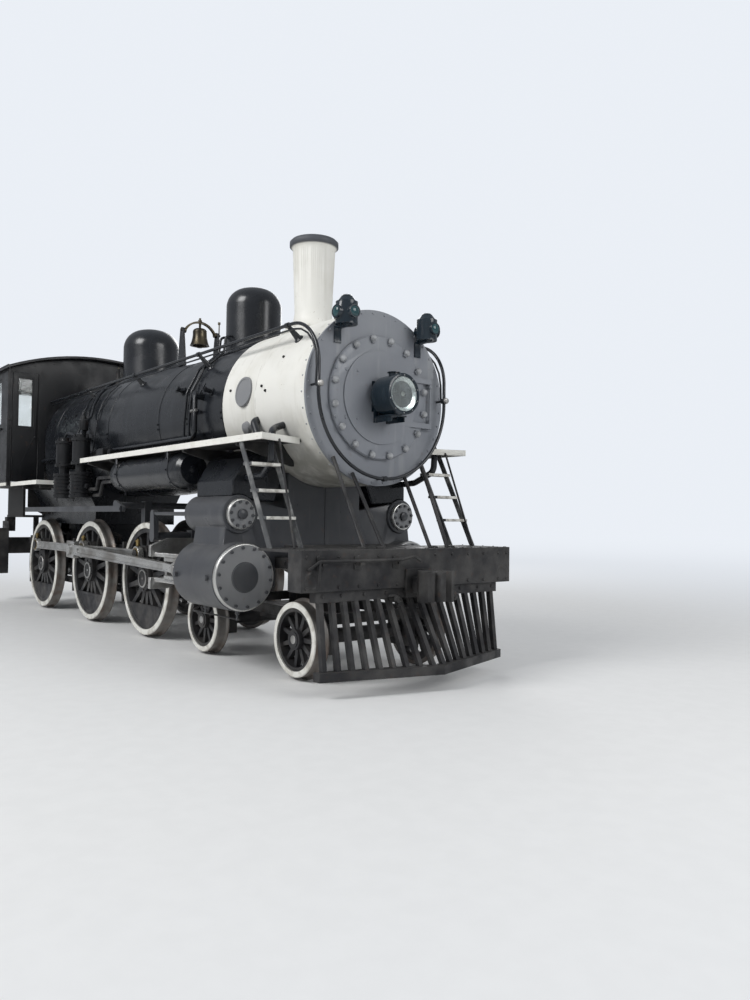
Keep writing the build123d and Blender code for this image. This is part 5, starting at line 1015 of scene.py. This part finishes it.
def pump_pipes():
    """Steam pipes by way of the governor, thin pipes and the air pipes to the reservoirs."""
    main = down_shell(5.62, 5.32, 0.045, (62, 50, 38, 26, 14))
    main += [at(GOVERNOR_S, 0.990, 2.830), at(GOVERNOR_S, GOVERNOR_OUT, 2.800)]
    steam = [main]
    for leaves, height, passes, pump in ((GOVERNOR_S, 2.640, 5.20, PUMPS[0]), (5.34, 2.650, 5.50, PUMPS[1])):
        steam.append([at(leaves, GOVERNOR_OUT, height), at(passes, 1.080, height),
                      at(pump, PUMP_OUT, 2.700), at(pump, PUMP_OUT, 2.600)])
    pipe("pump_steam_pipes", steam, 0.020, 0.09, BLACK, 12)
    thin, lift = [], 0.024
    for shift in (0.0, 0.045, 0.20):
        foot = 5.50 + shift
        thin.append(down_shell(5.76 + shift, foot, lift, (58, 46, 34, 22, 10)) + [at(foot, 1.010, 2.560)])
    thin.append(down_shell(5.14, 5.10, lift, (52, 40, 28, 16, 4)) + [at(5.10, 0.960, 2.290)])
    for pump in PUMPS:
        beside, low = 1.200, 1.700
        thin.append([at(pump + 0.09, beside, 1.850), at(pump + 0.09, beside, low),
                     at(pump + 0.30, 1.120, low)])
    pipe("pump_thin_pipes", thin, 0.009, 0.05, BLACK, 8)
    air = [[at(4.93, 1.060, 1.860), at(4.72, 1.020, 1.860), at(4.50, TANK_OUT, TANK_H),
            at(3.63, TANK_OUT, TANK_H)],
           [at(5.61, 1.060, 1.830), at(5.42, 0.980, 1.780), at(4.70, 0.980, 1.780), at(4.40, 1.060, 1.940),
            at(3.66, 1.060, 1.950)]]
    pipe("pump_air_pipes", air, 0.024, 0.10, GEAR_COAT, 12)


def board_details():
    """Rivets of the white edges, and the air reservoirs' strap bolts, drains and plugs."""
    edges = ((0.10, 4.55, BOARD_OUT, BOARD_TOP - 0.026), (6.20, 7.40, 1.400, 1.984))
    rows = [[(at(start, side * out, height), side * RIGHT), (at(end, side * out, height), side * RIGHT)]
            for start, end, out, height in edges for side in (1, -1)]
    rivets("board_edge_rivets", rows, 0.30, 0.010, WHITE_EDGE)
    straps = [(at(strap, TANK_OUT + TANK_R, height), RIGHT)
              for strap in (1.990, 3.400) for height in (1.86, TANK_H, 2.12)]
    places = landed_all("air_reservoirs", both_sides(straps))
    studs("tank_strap_bolts", places, 0.012, 0.014, BLACK)
    plugs = Shape()
    drain = capped((0.020, 0), (0.020, 0.035), (0.010, 0.040), (0.010, 0.085))
    for behind in (1.82, 3.57):
        plugs.turned(drain, at(behind, TANK_OUT, 1.840), DOWN, 10)
    for behind, facing in ((1.74, FORWARD), (3.65, BACK)):
        plug = capped((0.045, -0.004), (0.045, 0.016), (0.024, 0.022))
        plugs.turned(plug, at(behind, TANK_OUT, TANK_H), facing, 16)
    plugs.mirrored().piece("tank_plugs", BLACK)


def lubricator_details():
    """Lubricator on the right board, with oil pipes and their clips along both boards."""
    box = Shape()
    box.box(at(4.28, 0.960, BOARD_TOP), at(4.50, 1.120, BOARD_TOP + 0.130), 0.008)
    box.box(at(4.30, 0.975, BOARD_TOP + 0.130), at(4.48, 1.105, BOARD_TOP + 0.142), 0.004)
    filler = capped((0.030, 0), (0.030, 0.10), (0.018, 0.115), crown=0.003)
    box.turned(filler, at(4.18, 1.060, BOARD_TOP), UP, 14)
    box.turned(capped((0.022, 0), (0.022, 0.07), (0.012, 0.09)), at(4.60, 1.060, BOARD_TOP), UP, 12)
    box.piece("lubricator", CAB_COAT)
    lines, spacing = [], 0.025
    for step in range(3):
        out = 1.0 + spacing * step
        lines.append([at(4.30, out, BOARD_TOP + 0.08), at(4.10 - 0.05 * step, out, BOARD_TOP + 0.030),
                      at(1.65, out, BOARD_TOP + 0.022), at(1.58, out - 0.02, BOARD_TOP - 0.02)])
    pipe("oil_pipes", both_routes(lines), 0.006, 0.03, BRASS_COAT, 6)
    clips = Shape()
    for behind in (1.9, 2.5, 3.1, 3.7):
        clips.box(at(behind, 0.985, BOARD_TOP), at(behind + 0.025, 1.065, BOARD_TOP + 0.032), 0.003)
    clips.mirrored().piece("oil_pipe_clips", CAB_COAT)


def smokebox_side_details():
    """Round humps and bent pipes low on the smokebox's sides, and rods under the boards' front."""
    angle = -18.4
    hump = capped((0.075, -0.01), (0.060, 0.035), (0.020, 0.055), crown=0.001)
    humps = Shape().turned(hump, on_shell(1.08, angle), radial(angle), 20)
    humps.mirrored().piece("smokebox_humps", PLATE_COAT)
    stay = [on_shell(0.86, -14.5), on_shell(0.86, -14.5, 0.05), on_shell(0.70, -26, 0.14)]
    pipe("smokebox_side_pipes", both_routes([stay]), 0.040, 0.06, BLACK, 14)
    blower = [on_shell(0.42, -20, -0.01), on_shell(0.42, -20, 0.10), at(0.25, 1.050, 2.300),
              at(0.26, 1.040, 2.020), at(0.50, 0.980, 1.900), at(0.86, 0.960, 1.880)]
    pipe("blower_elbows", both_routes([blower]), 0.034, 0.10, BLACK, 14)
    brace = [at(0.10, 1.060, BOARD_TOP - 0.036), at(-0.26, 1.120, 1.224)]
    pipe("board_front_rods", both_routes([brace]), 0.011, 0.02, GEAR_COAT, 8)


# Cylinders, rods and wheels

def cylinder_details():
    """Cover studs, rims and bosses, relief valves, drain cocks and their rods."""
    low = CYL_H - CYL_R
    covers = ((CYL_FRONT - COVER_T, CYL_OUT, CYL_H, FORWARD, CYL_R - 0.050, 14, 0.1),
              (CYL_REAR + COVER_T, CYL_OUT, CYL_H, BACK, CYL_R - 0.075, 14, 0.1),
              (CHEST_FRONT - COVER_T, CHEST_OUT, CHEST_H, FORWARD, 0.122, 10, 0.2),
              (CHEST_REAR + COVER_T, CHEST_OUT, CHEST_H, BACK, 0.112, 10, 0.2))
    places = []
    for behind, out, height, arrow, radius, count, turn in covers:
        places += circle_of(at(behind, out, height), arrow, radius, count, turn)
    studs("cover_nuts", both_sides(places), 0.017, 0.020, CYLINDER_COAT)
    rims = Shape()
    for face, radius in ((at(CYL_FRONT, CYL_OUT, CYL_H), CYL_R - 0.012),
                         (at(CHEST_FRONT, CHEST_OUT, CHEST_H), 0.150)):
        inner, outer = radius - 0.011, radius + 0.004
        rims.turned([(inner, COVER_T - 0.004), (inner, COVER_T + 0.003), (radius - 0.004, COVER_T + 0.001),
                     (outer, COVER_T - 0.009), (outer, 0.002), (radius - 0.001, 0.002),
                     (radius - 0.001, COVER_T - 0.012), (inner, COVER_T - 0.004)], face, FORWARD, 48)
    rims.mirrored().piece("cover_rims", (BRIGHT_RIM, "rod_steel"))
    bosses = Shape()
    bosses.turned(capped((0.150, 0), (0.140, 0.010), (0.060, 0.016), crown=0.001),
                  at(CYL_FRONT - COVER_T, CYL_OUT, CYL_H), FORWARD, 36)
    bosses.turned(capped((0.050, 0), (0.050, 0.030), (0.034, 0.040), crown=0.002),
                  at(CHEST_FRONT - COVER_T, CHEST_OUT, CHEST_H), FORWARD, 20)
    cock = capped((0.024, -0.02), (0.024, 0.030), (0.014, 0.036), (0.014, 0.090))
    for behind in (CYL_FRONT + 0.09, CYL_REAR - 0.09):
        bosses.turned(cock, at(behind, CYL_OUT, low), DOWN, 12)
        bosses.turned(drum(0.030, 0.030, -0.02, crown=0.004), at(behind, CYL_OUT + CYL_R, CYL_H), RIGHT, 12)
    bosses.mirrored().piece("cylinder_bosses", CYLINDER_COAT)
    rod = [at(CYL_FRONT + 0.05, CYL_OUT, low - 0.080), at(CYL_REAR + 0.20, CYL_OUT, low - 0.080),
           at(CYL_REAR + 0.42, CYL_OUT - 0.28, low - 0.02)]
    pipe("drain_cock_rods", both_routes([rod]), 0.009, 0.05, GEAR_COAT, 8)


def side_rod_details():
    """Oil cups and brasses at the three pins of each side rod."""
    coupled_middle = at((DRIVER_AXLES["front"] + DRIVER_AXLES["rear"]) / 2, 0, 0).x
    cup = capped((0.024, -0.01), (0.024, 0.034), (0.030, 0.038), (0.030, 0.058), (0.012, 0.064),
                 (0.012, 0.074), crown=0.002)
    brass_ring = [(0.066, -0.004), (0.086, -0.004), (0.086, 0.003), (0.066, 0.003), (0.066, -0.004)]
    for side, arrow in (("right", RIGHT), ("left", LEFT)):
        low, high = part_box(f"side_rod_{side}")
        middle = (low + high) / 2
        face = max(abs(low.y), abs(high.y))
        cups, brasses = Shape(), Shape()
        for axle in DRIVER_AXLES.values():
            pin_x = at(axle, 0, 0).x + middle.x - coupled_middle
            cups.turned(cup, Vector((pin_x, arrow.y * (face - 0.035), high.z - 0.004)), UP, 14)
            brasses.turned(brass_ring, Vector((pin_x, arrow.y * face, middle.z)), arrow, 32)
        cups.piece(f"rod_oil_cups_{side}", BRASS_COAT, f"rod_{side}")
        brasses.piece(f"rod_brasses_{side}", BRASS_COAT, f"rod_{side}")


def wheel_details():
    """Axle ends of all wheelsets and the hub bolts of the driving wheels."""
    for place, axle in DRIVER_AXLES.items():
        ends, bolts = Shape(), []
        for side, arrow in ((1, RIGHT), (-1, LEFT)):
            hub = at(axle, side * 0.850, DRIVER_R)
            ends.turned([(0.098, -0.002), (0.098, 0.006), (0.112, 0.006), (0.118, -0.002)], hub, arrow, 32)
            ends.turned(capped((0.016, 0), (0.010, 0.004)), hub, arrow, 12)
            bolts += circle_of(hub - arrow * 0.012, arrow, 0.140, 6, 0.2)
        ends.piece(f"axle_ends_{place}", STEEL, f"driver_{place}")
        studs(f"hub_bolts_{place}", bolts, 0.013, 0.010, IRON_COAT, body=f"driver_{place}")
    for place, axle in TRUCK_AXLES.items():
        low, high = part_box(f"truck_wheels_{place}")
        reach = max(abs(low.y), abs(high.y))
        ends = Shape()
        for side, arrow in ((1, RIGHT), (-1, LEFT)):
            end = capped((0.040, 0), (0.034, 0.004), crown=0.001)
            ends.turned(end, at(axle, side * reach, TRUCK_R), arrow, 24)
        ends.piece(f"truck_axle_ends_{place}", STEEL, f"truck_axle_{place}")


def frame_details():
    """Binder nuts below the axle boxes and splice bolts along the frames."""
    nuts = [(at(axle + shift, 0.555, 0.40), DOWN)
            for axle in DRIVER_AXLES.values() for shift in (-0.20, 0.20)]
    places = landed_all("frames", both_sides(nuts))
    studs("binder_nuts", places, 0.022, 0.022, IRON_CASTING)
    splices = (-0.34, -0.22, 0.42, 0.54, 0.66, 1.62, 1.74, 1.86, 2.40,
               4.45, 4.60, 6.45, 6.60, 8.50, 8.65, 8.95)
    places = landed_all("frames", both_sides([(at(behind, 0.610, 1.040), RIGHT) for behind in splices]))
    studs("frame_bolts", places, 0.018, 0.016, IRON_CASTING)


# Front end

def pilot_details():
    """Uncoupling lever, poling pockets, angle cocks and the bolts of beam and pilot."""
    face, lever_h = BEAM_FACE, 1.130
    lever = [[at(face - 0.030, 1.240, 1.060), at(face - 0.060, 1.140, lever_h),
              at(face - 0.060, 0.230, lever_h), at(face - 0.130, 0.150, 1.160),
              at(face - 0.150, 0.090, 1.120)],
             [at(face - 0.060, 1.140, lever_h), at(face - 0.075, 1.170, 0.900)]]
    pipe("uncoupling_lever", lever, 0.013, 0.04, IRON_COAT)
    brackets = Shape()
    for out in (0.26, 0.70, 1.10):
        brackets.box(at(face, out - 0.025, 1.090), at(face - 0.078, out + 0.025, 1.112), 0.003)
        brackets.box(at(face, out - 0.040, 1.050), at(face - 0.012, out + 0.040, 1.165), 0.003)
    brackets.piece("lever_brackets", IRON_COAT)
    pocket = [(0.055, 0.004), (0.075, 0.004), (0.085, 0.000), (0.085, -0.01), (0, -0.01), (0, -0.006),
              (0.040, -0.004), (0.055, 0.004)]
    pockets = Shape().turned(pocket, at(face, 1.180, 0.955), FORWARD, 24)
    pockets.mirrored().piece("poling_pockets", IRON_COAT)
    ends, cocks = [], Shape()
    cock = capped((0.034, -0.05), (0.034, 0.02), (0.026, 0.03))
    for out, height, reach in ((0.300, 0.780, 0.110), (-0.420, 0.790, 0.100)):
        ends.append([at(-0.30, out, height), at(face - 0.040, out, height),
                     at(face - reach, out, height - 0.04)])
        cocks.turned(cock, at(face - 0.050, out, height), FORWARD, 14)
        cocks.box(at(face - 0.060, out - 0.010, height + 0.02),
                  at(face - 0.045, out + 0.090, height + 0.04), 0.003)
    pipe("air_pipe_ends", ends, 0.022, 0.05, IRON_COAT, 12)
    cocks.piece("angle_cocks", IRON_COAT)
    beam = [(at(face, out, height), FORWARD)
            for out in (0.24, 0.46, 0.68, 0.90, 1.12, 1.24) for height in (0.905, 1.165)]
    foot = [(at(face, out, 0.83), FORWARD) for out in (0.12, 0.35, 0.60, 0.85, 1.05)]
    places = landed_all("pilot_beam", both_sides(beam)) + landed_all("pilot", both_sides(foot))
    studs("beam_bolts", places, 0.019, 0.014, GEAR_COAT, 8, 0.6)
    lines = (((-0.56, 1.27), (0.03, 1.27)), ((-0.60, 1.25), (-0.60, -1.25)), ((-0.56, -1.27), (0.03, -1.27)))
    rows = [[(at(behind, out, DECK_TOP), UP) for behind, out in line] for line in lines]
    rivets("deck_rivets", rows, 0.12, 0.010, GEAR_COAT)
    pads = Shape()
    pad = capped((0.045, -0.004), (0.045, 0.014), (0.024, 0.022))
    for out in (0.560, 0.330):
        pads.turned(pad, at(-0.490, out, DECK_TOP), UP, 16)
    pads.mirrored().piece("brace_feet", GEAR_COAT)


# Cab

def cab_rivets():
    """Rivet rows on the cab's sides and front wall."""
    front, rear, inset, top, belt = CAB_FRONT + 0.03, CAB_REAR - 0.03, 0.10, 3.80, 2.84
    spans = (((front, 2.05), (CAB_REAR - inset, 2.05)), ((front, top), (rear, top)),
             ((front, 2.11), (front, top - 0.06)), ((rear, 2.12), (rear, top - 0.06)),
             ((CAB_FRONT + inset, belt), (CAB_REAR - inset, belt)))
    rows = []
    for sign in (1, -1):
        rows += [[(at(behind, sign * CAB_HALF, height), sign * RIGHT) for behind, height in span]
                 for span in spans]
        rows += [[(at(CAB_FRONT, sign * out, height), FORWARD) for height in (2.02, high)]
                 for out, high in ((CAB_HALF - 0.055, top), (0.955, 3.82))]
    arch = (-1.36, -1.0, -0.6, -0.2, 0.2, 0.6, 1.0, 1.36)
    rows.append([(at(CAB_FRONT, out, 4.075 - 0.137 * out * out), FORWARD) for out in arch])
    rivets("cab_rivets", rows, 0.10, 0.008, CAB_COAT)


def window_bars(low, high, half, stile, sill, head):
    """Rectangles of a sash: across from and to, height from and to."""
    return ((-half, -stile, low, high), (stile, half, low, high), (-stile, stile, low, low + sill),
            (-stile, stile, high - head, high))


def cab_windows():
    """Sashes and arm rests of the side windows, and the white edges of the cab's sills."""
    low, high, sill, head, bar = 2.925, 3.703, 0.050, 0.045, 0.012
    face, thick = CAB_HALF - 0.010, 0.028
    bars = window_bars(low, high, 0.279, 0.235, sill, head) + ((-bar, bar, low + sill, high - head),)
    sashes = Shape()
    for window in (CAB_FRONT + 0.640, CAB_FRONT + 1.260):
        for start, end, foot, top in bars:
            sashes.box(at(window + start, face - thick, foot), at(window + end, face, top), 0.002)
    sashes.box(at(CAB_FRONT + 0.30, CAB_HALF, 2.870), at(CAB_FRONT + 1.60, CAB_HALF + 0.030, 2.900), 0.004)
    sashes.mirrored().piece("window_sashes", CAB_COAT)
    edges = Shape()
    edges.box(at(CAB_FRONT - 0.002, CAB_HALF - 0.004, CAB_LOW + 0.001),
              at(CAB_REAR - 0.120, CAB_HALF + 0.006, APRON_TOP), 0.002)
    edges.mirrored().piece("cab_sill_edges", WHITE_EDGE)


def cab_doors():
    """Glass and frames of the two front doors."""
    low, high, middle, half, gap = 2.905, 3.723, 1.200, 0.124, 0.001
    for side, hand in ((1, "right"), (-1, "left")):
        pane, sash = Shape(), Shape()
        pane.box(at(CAB_FRONT + 0.016, side * (middle - half), low + gap),
                 at(CAB_FRONT + 0.022, side * (middle + half), high - gap))
        for start, end, foot, top in window_bars(low, high, half, 0.100, 0.030, 0.030):
            sash.box(at(CAB_FRONT + 0.006, side * (middle + start), foot + gap),
                     at(CAB_FRONT + 0.032, side * (middle + end), top - gap), 0.002)
        pane.piece(f"door_glass_{hand}", GLASS_COAT, f"cab_door_{hand}")
        sash.piece(f"door_frame_{hand}", CAB_COAT, f"cab_door_{hand}")


def roof_height(out):
    """Height of the arched roof at a distance out."""
    radius = (ROOF_HALF ** 2 + ROOF_RISE ** 2) / (2 * ROOF_RISE)
    return ROOF_TOP - radius + sqrt(radius ** 2 - out ** 2)


def roof_details():
    """Ribs across the cab's roof and gutters along its edges."""
    across = [step * 0.15 - 1.50 for step in range(21)]
    ribs = [[at(behind, out, roof_height(out) + 0.002) for out in across]
            for behind in (7.33, 7.90, 8.40, 8.90, 9.47)]
    pipe("roof_ribs", ribs, 0.010, 0.0, CAB_COAT, 8)
    out, lift = 1.505, 0.008
    gutter = [at(behind, out, roof_height(out) + lift) for behind in (7.30, 9.50)]
    pipe("roof_gutters", both_routes([gutter]), 0.014, 0.0, CAB_COAT, 8)


def valve_wheel(wheels, hub, radius):
    """Rim and four spokes of a hand wheel."""
    wire_r, spoke = 0.008, 0.006
    turns = [2 * pi * step / 8 for step in range(9)]
    wheels.turned([(radius + wire_r * cos(turn), wire_r * sin(turn)) for turn in turns], hub, BACK, 24)
    for quarter in range(4):
        angle = quarter * pi / 2 + 0.4
        reach = Vector((0, cos(angle), sin(angle)))
        side = reach.cross(BACK).normalized() * spoke
        reach *= radius
        wheels.prism([hub - side, hub + reach - side, hub + reach + side, hub + side], BACK * wire_r)


def footplate_details():
    """Gauges, valve wheels, try cocks and water gauge on the backhead."""
    brass_work, dials, wheels = Shape(), Shape(), Shape()
    for out, height, radius in ((0.260, 3.300, 0.095), (-0.040, 3.340, 0.095), (-0.300, 3.260, 0.080)):
        face, inner = at(BACKHEAD + 0.060, out, height), radius - 0.012
        bezel = [(inner, 0.0), (inner, 0.012), (radius + 0.004, 0.012), (radius + 0.006, 0.0)]
        brass_work.turned(bezel, face, BACK, 36)
        dials.turned(capped((inner + 0.001, 0.003), (inner + 0.001, 0.001)), face, BACK, 36)
        wheels.box(face + Vector((-0.007, -0.003, -0.012)), face + Vector((-0.004, 0.003, radius * 0.72)))
    stem = capped((0.034, 0), (0.034, 0.02), (0.018, 0.03), (0.018, 0.11))
    for out, height, radius in ((0.62, 3.02, 0.075), (-0.62, 3.02, 0.075),
                                (0.16, 2.98, 0.060), (-0.10, 2.98, 0.060)):
        foot = at(BACKHEAD, out, height)
        brass_work.turned(stem, foot, BACK, 14)
        valve_wheel(wheels, foot + BACK * 0.105, radius)
    for step in range(3):
        cock = at(BACKHEAD, 0.50 - 0.05 * step, 2.70 - 0.11 * step)
        brass_work.turned(drum(0.018, 0.07), cock, BACK, 10)
        brass_work.turned(drum(0.010, 0.06), cock + BACK * 0.055, DOWN, 8)
    gauge_out, gauge_low, gauge_tall = -0.36, 2.62, 0.36
    for height in (gauge_low, gauge_low + gauge_tall):
        brass_work.turned(drum(0.022, 0.08), at(BACKHEAD, gauge_out, height), BACK, 12)
    brass_work.piece("footplate_brass", BRASS_COAT)
    dials.piece("gauge_faces", (DIAL_WHITE, "trim_white"))
    wheels.piece("valve_wheels", IRON_COAT)
    glass = Shape().turned(drum(0.010, gauge_tall), at(BACKHEAD + 0.070, gauge_out, gauge_low), UP, 12)
    glass.piece("water_gauge_glass", GLASS_COAT)


def backhead_details():
    """Copper pipes, fire door irons and rim bolts on the backhead."""
    copper = [[at(BACKHEAD, 0.62, 3.02), at(BACKHEAD + 0.10, 0.66, 3.10), at(BACKHEAD + 0.06, 0.60, 3.34),
               at(BACKHEAD, 0.40, 3.42)],
              [at(BACKHEAD, 0.66, 2.86), at(BACKHEAD + 0.08, 0.70, 2.70), at(BACKHEAD + 0.08, 0.72, 2.10)]]
    pipe("footplate_pipes", both_routes(copper), 0.014, 0.07, BRASS_COAT)
    irons = Shape()
    for height in (1.90, 2.08):
        irons.box(at(8.416, -0.28, height - 0.018), at(8.430, 0.22, height + 0.018), 0.003)
    irons.turned(drum(0.014, 0.26), at(8.440, 0.16, 1.86), UP, 10)
    irons.piece("fire_door_irons", IRON_COAT)
    ring = circle_of(at(BACKHEAD, 0, BOILER_H), BACK, WAISTED_R - 0.070, 28, 0.05)
    places = [(place, arrow) for place, arrow in ring if place.z > RAIL_Z + 2.2]
    studs("backhead_bolts", places, 0.014, 0.008, IRON_COAT, 8, 0.6)


def cushion_lift(a, b, upper):
    """Share of a cushion's thickness at a place, which runs from -1 to 1 each way."""
    rim = (1 - a ** 6) * (1 - b ** 6)
    if upper:
        return 0.5 + 0.5 * rim ** 0.5 * (0.82 + 0.18 * (1 - a * a) * (1 - b * b))
    return 0.5 - 0.5 * min(1, rim * 3)


def seat_details():
    """Plain box seats with crowned leather cushions."""
    low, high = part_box("seats")
    half_wide, thick, gap = 0.170, 0.084, 0.001
    boxes, pads = Shape(), bmesh.new()
    boxes.box(Vector((low.x + 0.010, low.y + gap, low.z + gap)),
              Vector((high.x - 0.010, low.y + 2 * half_wide + gap, high.z - thick - gap)), 0.004)
    boxes.mirrored().piece("seat_boxes", CAB_COAT)
    steps = [2 * step / 16 - 1 for step in range(17)]
    middle, half = (low.x + high.x) / 2, (high.x - low.x) / 2
    for sign in (1, -1):
        for upper in (True, False):
            rows = []
            for a in steps:
                row = []
                for b in steps:
                    pull = 1 - 0.012 * (a * a * b * b)
                    y = sign * (high.y - half_wide - gap) + half_wide * b * pull
                    z = high.z - thick + 0.082 * cushion_lift(a, b, upper)
                    row.append(pads.verts.new((middle + half * a * pull, y, z)))
                rows.append(row)
            for one, two in zip(rows, rows[1:]):
                for corners in zip(one, two, two[1:], one[1:]):
                    pads.faces.new(corners)
    bmesh.ops.remove_doubles(pads, verts=pads.verts, dist=0.0004)
    bmesh.ops.recalc_face_normals(pads, faces=pads.faces)
    mesh = bpy.data.meshes.new("seat_cushions")
    pads.to_mesh(mesh)
    pads.free()
    cushions = settle(link("seat_cushions", mesh), (SEAT_LEATHER, "seat_leather"), "engine", 180)
    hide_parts("seats")


smokebox_details()
rail_details()
class_lamp_details()
headlight_details()
stack_details()
boiler_fittings()
boiler_details()
pump_details()
pump_pipes()
board_details()
lubricator_details()
smokebox_side_details()
cylinder_details()
side_rod_details()
wheel_details()
frame_details()
pilot_details()
cab_rivets()
cab_windows()
cab_doors()
roof_details()
footplate_details()
backhead_details()
seat_details()


# Floor, light and camera

def floor():
    """Pale ground that turns into the background's colour far behind the object."""
    mesh = bpy.data.meshes.new("floor")
    half = 400.0
    corners = [(-half, -half, 0), (half, -half, 0), (half, half, 0), (-half, half, 0)]
    mesh.from_pydata(corners, [], [(0, 1, 2, 3)])
    piece = link("floor", mesh)
    finish = Finish("floor_paint", roughness=0.75)
    finish.colour(finish.mix(finish.cloud((6.0, 6), 0.3, 0.7), (0.80, 0.80, 0.79), (0.82, 0.82, 0.81)))
    nearness = finish.maths("DIVIDE", 1.0, finish.distance(finish.axis("X"), finish.axis("Y")))
    far = finish.span(nearness, 1 / FADE_ENDS, 1 / FADE_STARTS, 1.0, 0.0)
    seen = finish.add("LightPath").outputs["Is Camera Ray"]
    glow = finish.add("Emission", Color=(*PALE_SKY, 1), Strength=SKY_SEEN)
    blend = finish.add("MixShader")
    wire(finish.tree, (finish.times(far, seen), blend.inputs[0]),
         (finish.surface.outputs[0], blend.inputs[1]), (glow.outputs[0], blend.inputs[2]),
         (blend.outputs[0], finish.tree.nodes["Material Output"].inputs["Surface"]))
    mesh.materials.append(finish.material)


def softbox(name, place, aim, size, power):
    """Soft rectangular lamp that faces a point."""
    lamp = bpy.data.lights.new(name, "AREA")
    lamp.shape = "RECTANGLE"
    lamp.size, lamp.size_y = size
    lamp.energy = power
    piece = link(name, lamp)
    piece.location = place
    piece.rotation_mode = "QUATERNION"
    piece.rotation_quaternion = (Vector(aim) - Vector(place)).to_track_quat("-Z", "Y")


def surroundings():
    """Pale world that camera and glass see nearly white, with a softer level on the object."""
    world = bpy.data.worlds.new("studio")
    bpy.context.scene.world = world
    world.use_nodes = True
    tree = world.node_tree
    background = tree.nodes["Background"]
    path = tree.nodes.new("ShaderNodeLightPath")
    seen = tree.nodes.new("ShaderNodeMath")
    seen.operation = "MAXIMUM"
    strength = tree.nodes.new("ShaderNodeMapRange")
    strength.inputs["To Min"].default_value = SKY_ON_OBJECT
    strength.inputs["To Max"].default_value = SKY_SEEN
    background.inputs["Color"].default_value = (*PALE_SKY, 1)
    wire(tree, (path.outputs["Is Camera Ray"], seen.inputs[0]),
         (path.outputs["Is Transmission Ray"], seen.inputs[1]), (seen.outputs[0], strength.inputs["Value"]),
         (strength.outputs["Result"], background.inputs["Strength"]))


def camera():
    """Camera in the photograph's place, from its yaw, pitch and roll."""
    yaw, pitch, roll = radians(CAMERA_YAW), radians(CAMERA_PITCH), radians(CAMERA_ROLL)
    flat = Vector((-cos(yaw), sin(yaw), 0))
    right = Vector((sin(yaw), cos(yaw), 0))
    ahead = flat * cos(pitch) + UP * sin(pitch)
    above = UP * cos(pitch) - flat * sin(pitch)
    side = right * cos(roll) + above * sin(roll)
    top = above * cos(roll) - right * sin(roll)
    data = bpy.data.cameras.new("camera")
    data.lens = CAMERA_LENS
    data.sensor_width = 36
    data.clip_end = 500
    piece = link("camera", data)
    facing = Matrix((side, top, -ahead)).transposed()
    piece.matrix_world = Matrix.Translation(CAMERA_PLACE) @ facing.to_4x4()
    bpy.context.scene.camera = piece


floor()
surroundings()
for lamp in (("key", (2.0, -16.0, 14.0), (1.0, 0, 2.0), (9, 9), 2600),
             ("fill", (18.0, 4.0, 9.0), (3.0, 0, 2.0), (9, 7), 900),
             ("back", (-12.0, 12.0, 10.0), (-1.0, 0, 2.0), (8, 8), 900)):
    softbox(*lamp)
camera()
bpy.context.scene.view_settings.view_transform = "Standard"
